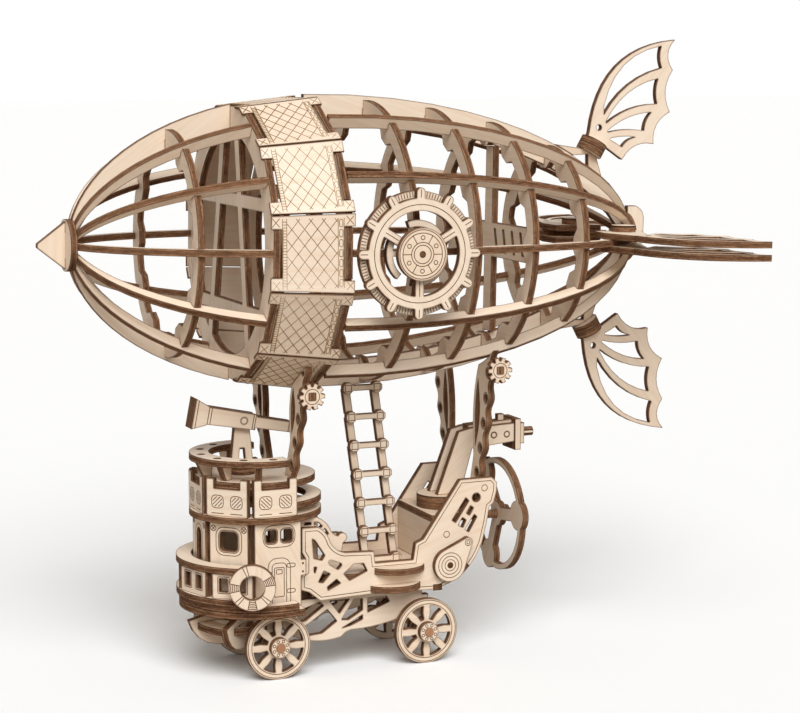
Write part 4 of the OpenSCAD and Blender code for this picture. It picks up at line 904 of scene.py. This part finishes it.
bm = bmesh.new()
bm.from_mesh(plates["band_panels"].data)
bm.normal_update()
groups = solids_of(bm)
panels = [list({vert.co.copy().freeze() for face in group for vert in face.verts}) for group in groups]
normals = [sheet_normal(group) for group in groups]
bm.free()
band_points = [p for points in panels for p in points]
band_middle = sum(band_points, Vector()) / len(band_points)
for points, normal in zip(panels, normals):
    middle = sum(points, Vector()) / len(points)
    out = normal if normal.dot(middle - band_middle) > 0 else -normal
    along = (AFT - out * AFT.dot(out)).normalized()
    across = out.cross(along)
    flat = [((p - middle).dot(along) / MM, (p - middle).dot(across) / MM) for p in points]
    front, rear = min(u for u, v in flat), max(u for u, v in flat)
    face_at = max((p - middle).dot(out) for p in points) / MM
    panel = Face("band_panels", middle / MM + along * front + out * face_at, along, across, out)
    run = rear - front
    half_front = max(v for u, v in flat if u < front + BORDER_REACH)
    half_rear = max(v for u, v in flat if u > rear - BORDER_REACH)
    draw_lattice(panel, run, half_front - PANEL_MARGIN)
    draw_strips(panel, run, half_front - PANEL_MARGIN)
    draw_crosses(panel, TAB_FRONT, half_front)
    draw_crosses(panel, run - TAB_FROM_REAR, half_rear)
print(len(paths_of["band_panels"]), "lines on the band")

# %% [markdown]
# ## Burning the lines
# One Geometry Nodes tree turns paths into beads: Mesh to Curve makes a curve of each path, and Curve
# to Mesh sweeps a small six-sided profile along it. Doing this with nodes means that one number sets
# the width of the band's fine lines, and one that of all others. A second tree sets a thin block or
# disc on each peg's point, turned and sized by that point's own attributes.

# %% Two Geometry Nodes trees
BEAD_SIDES, DISC_SIDES = 6, 24


def new_tree(name, *inputs):
    """An empty tree with a geometry input and the named ones, and the outputs of its input node."""
    tree = bpy.data.node_groups.new(name, "GeometryNodeTree")
    for label, kind in (("Geometry", "NodeSocketGeometry"), *inputs):
        tree.interface.new_socket(label, in_out="INPUT", socket_type=kind)
    tree.interface.new_socket("Geometry", in_out="OUTPUT", socket_type="NodeSocketGeometry")
    return tree, add(tree, "NodeGroupInput").outputs


def end_tree(tree, geometry, finish):
    """The same end for every tree: plain geometry, and a finish."""
    plain = add(tree, "GeometryNodeRealizeInstances", sockets={"Geometry": geometry})
    painted = add(tree, "GeometryNodeSetMaterial", sockets={
        "Geometry": plain.outputs[0], "Material": finish})
    add(tree, "NodeGroupOutput", sockets={"Geometry": painted.outputs[0]})


burn_line, given = new_tree("burn_line", ("Radius", "NodeSocketFloat"), ("Finish", "NodeSocketMaterial"))
curve = add(burn_line, "GeometryNodeMeshToCurve", sockets={"Mesh": given["Geometry"]})
profile = add(burn_line, "GeometryNodeCurvePrimitiveCircle", sockets={
    "Resolution": BEAD_SIDES, "Radius": given["Radius"]})
swept = add(burn_line, "GeometryNodeCurveToMesh", sockets={
    "Curve": curve.outputs[0], "Profile Curve": profile.outputs[0], "Fill Caps": True})
end_tree(burn_line, swept.outputs[0], given["Finish"])

set_pegs, given = new_tree("set_pegs", ("Thickness", "NodeSocketFloat"), ("Round", "NodeSocketBool"),
                           ("Finish", "NodeSocketMaterial"))
block = add(set_pegs, "GeometryNodeMeshCube", sockets={"Size": (1, 1, 1)})
disc = add(set_pegs, "GeometryNodeMeshCylinder", sockets={
    "Vertices": DISC_SIDES, "Radius": 0.5, "Depth": 1.0})
shape = add(set_pegs, "GeometryNodeSwitch", input_type="GEOMETRY", sockets={
    "Switch": given["Round"], "False": block.outputs["Mesh"], "True": disc.outputs["Mesh"]})
turn = add(set_pegs, "GeometryNodeInputNamedAttribute", data_type="FLOAT_VECTOR", sockets={"Name": "turn"})
size = add(set_pegs, "GeometryNodeInputNamedAttribute", data_type="FLOAT_VECTOR", sockets={"Name": "size"})
parts = add(set_pegs, "ShaderNodeSeparateXYZ", sockets={"Vector": size.outputs["Attribute"]})
scale = add(set_pegs, "ShaderNodeCombineXYZ", sockets={
    "X": parts.outputs["X"], "Y": parts.outputs["Y"], "Z": given["Thickness"]})
facing = add(set_pegs, "FunctionNodeEulerToRotation", sockets={"Euler": turn.outputs["Attribute"]})
placed = add(set_pegs, "GeometryNodeInstanceOnPoints", sockets={
    "Points": given["Geometry"], "Instance": shape.outputs[0], "Rotation": facing.outputs[0],
    "Scale": scale.outputs[0]})
end_tree(set_pegs, placed.outputs[0], given["Finish"])
print("trees:", burn_line.name, set_pegs.name)

# %% Grow a piece from points
def grow(name, node, tree, points, edges, attributes, **inputs):
    """Run a tree on points and edges, keep the result as a plain mesh, and let it ride on its body."""
    seed = bpy.data.meshes.new(name + "_seed")
    seed.from_pydata(points, edges, [])
    for label, values in attributes.items():
        layer = seed.attributes.new(label, "FLOAT_VECTOR", "POINT")
        for entry, value in zip(layer.data, values):
            entry.vector = value
    piece = bpy.data.objects.new(name, seed)
    scene.collection.objects.link(piece)
    modifier = piece.modifiers.new(tree.name, "NODES")
    modifier.node_group = tree
    for item in tree.interface.items_tree:
        if item.in_out == "INPUT" and item.name in inputs:
            modifier[item.identifier] = inputs[item.name]
    grown = bpy.data.meshes.new_from_object(piece.evaluated_get(bpy.context.evaluated_depsgraph_get()))
    piece.modifiers.remove(modifier)
    piece.data = grown
    bpy.data.meshes.remove(seed)
    grown.name = name
    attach(piece, body_of[node])
    return len(grown.polygons)

# %% Grow the beads and the pegs
LINE_RADIUS = 0.26 * MM
FINE_RADIUS = 0.19 * MM
PEG_THICKNESS = 0.16 * MM

grown_faces = 0
for node, paths in paths_of.items():
    points, edges = [], []
    for path, closed in paths:
        first = len(points)
        points += path
        edges += [(first + i, first + i + 1) for i in range(len(path) - 1)]
        if closed:
            edges.append((len(points) - 1, first))
    radius, finish = (FINE_RADIUS, fine_finish) if node == "band_panels" else (LINE_RADIUS, line_finish)
    grown_faces += grow("lines_" + node, node, burn_line, points, edges, {}, Radius=radius, Finish=finish)
for node, pegs in pegs_of.items():
    for is_round, kind in ((False, "tenons_"), (True, "dowels_")):
        kept = [peg for peg in pegs if peg.round == is_round]
        if kept:
            marks = {"turn": [peg.turn for peg in kept], "size": [peg.size for peg in kept]}
            grown_faces += grow(kind + node, node, set_pegs, [peg.place for peg in kept], [], marks,
                                Thickness=PEG_THICKNESS, Round=is_round, Finish=line_finish)
print(grown_faces, "faces in burnt lines and pegs")
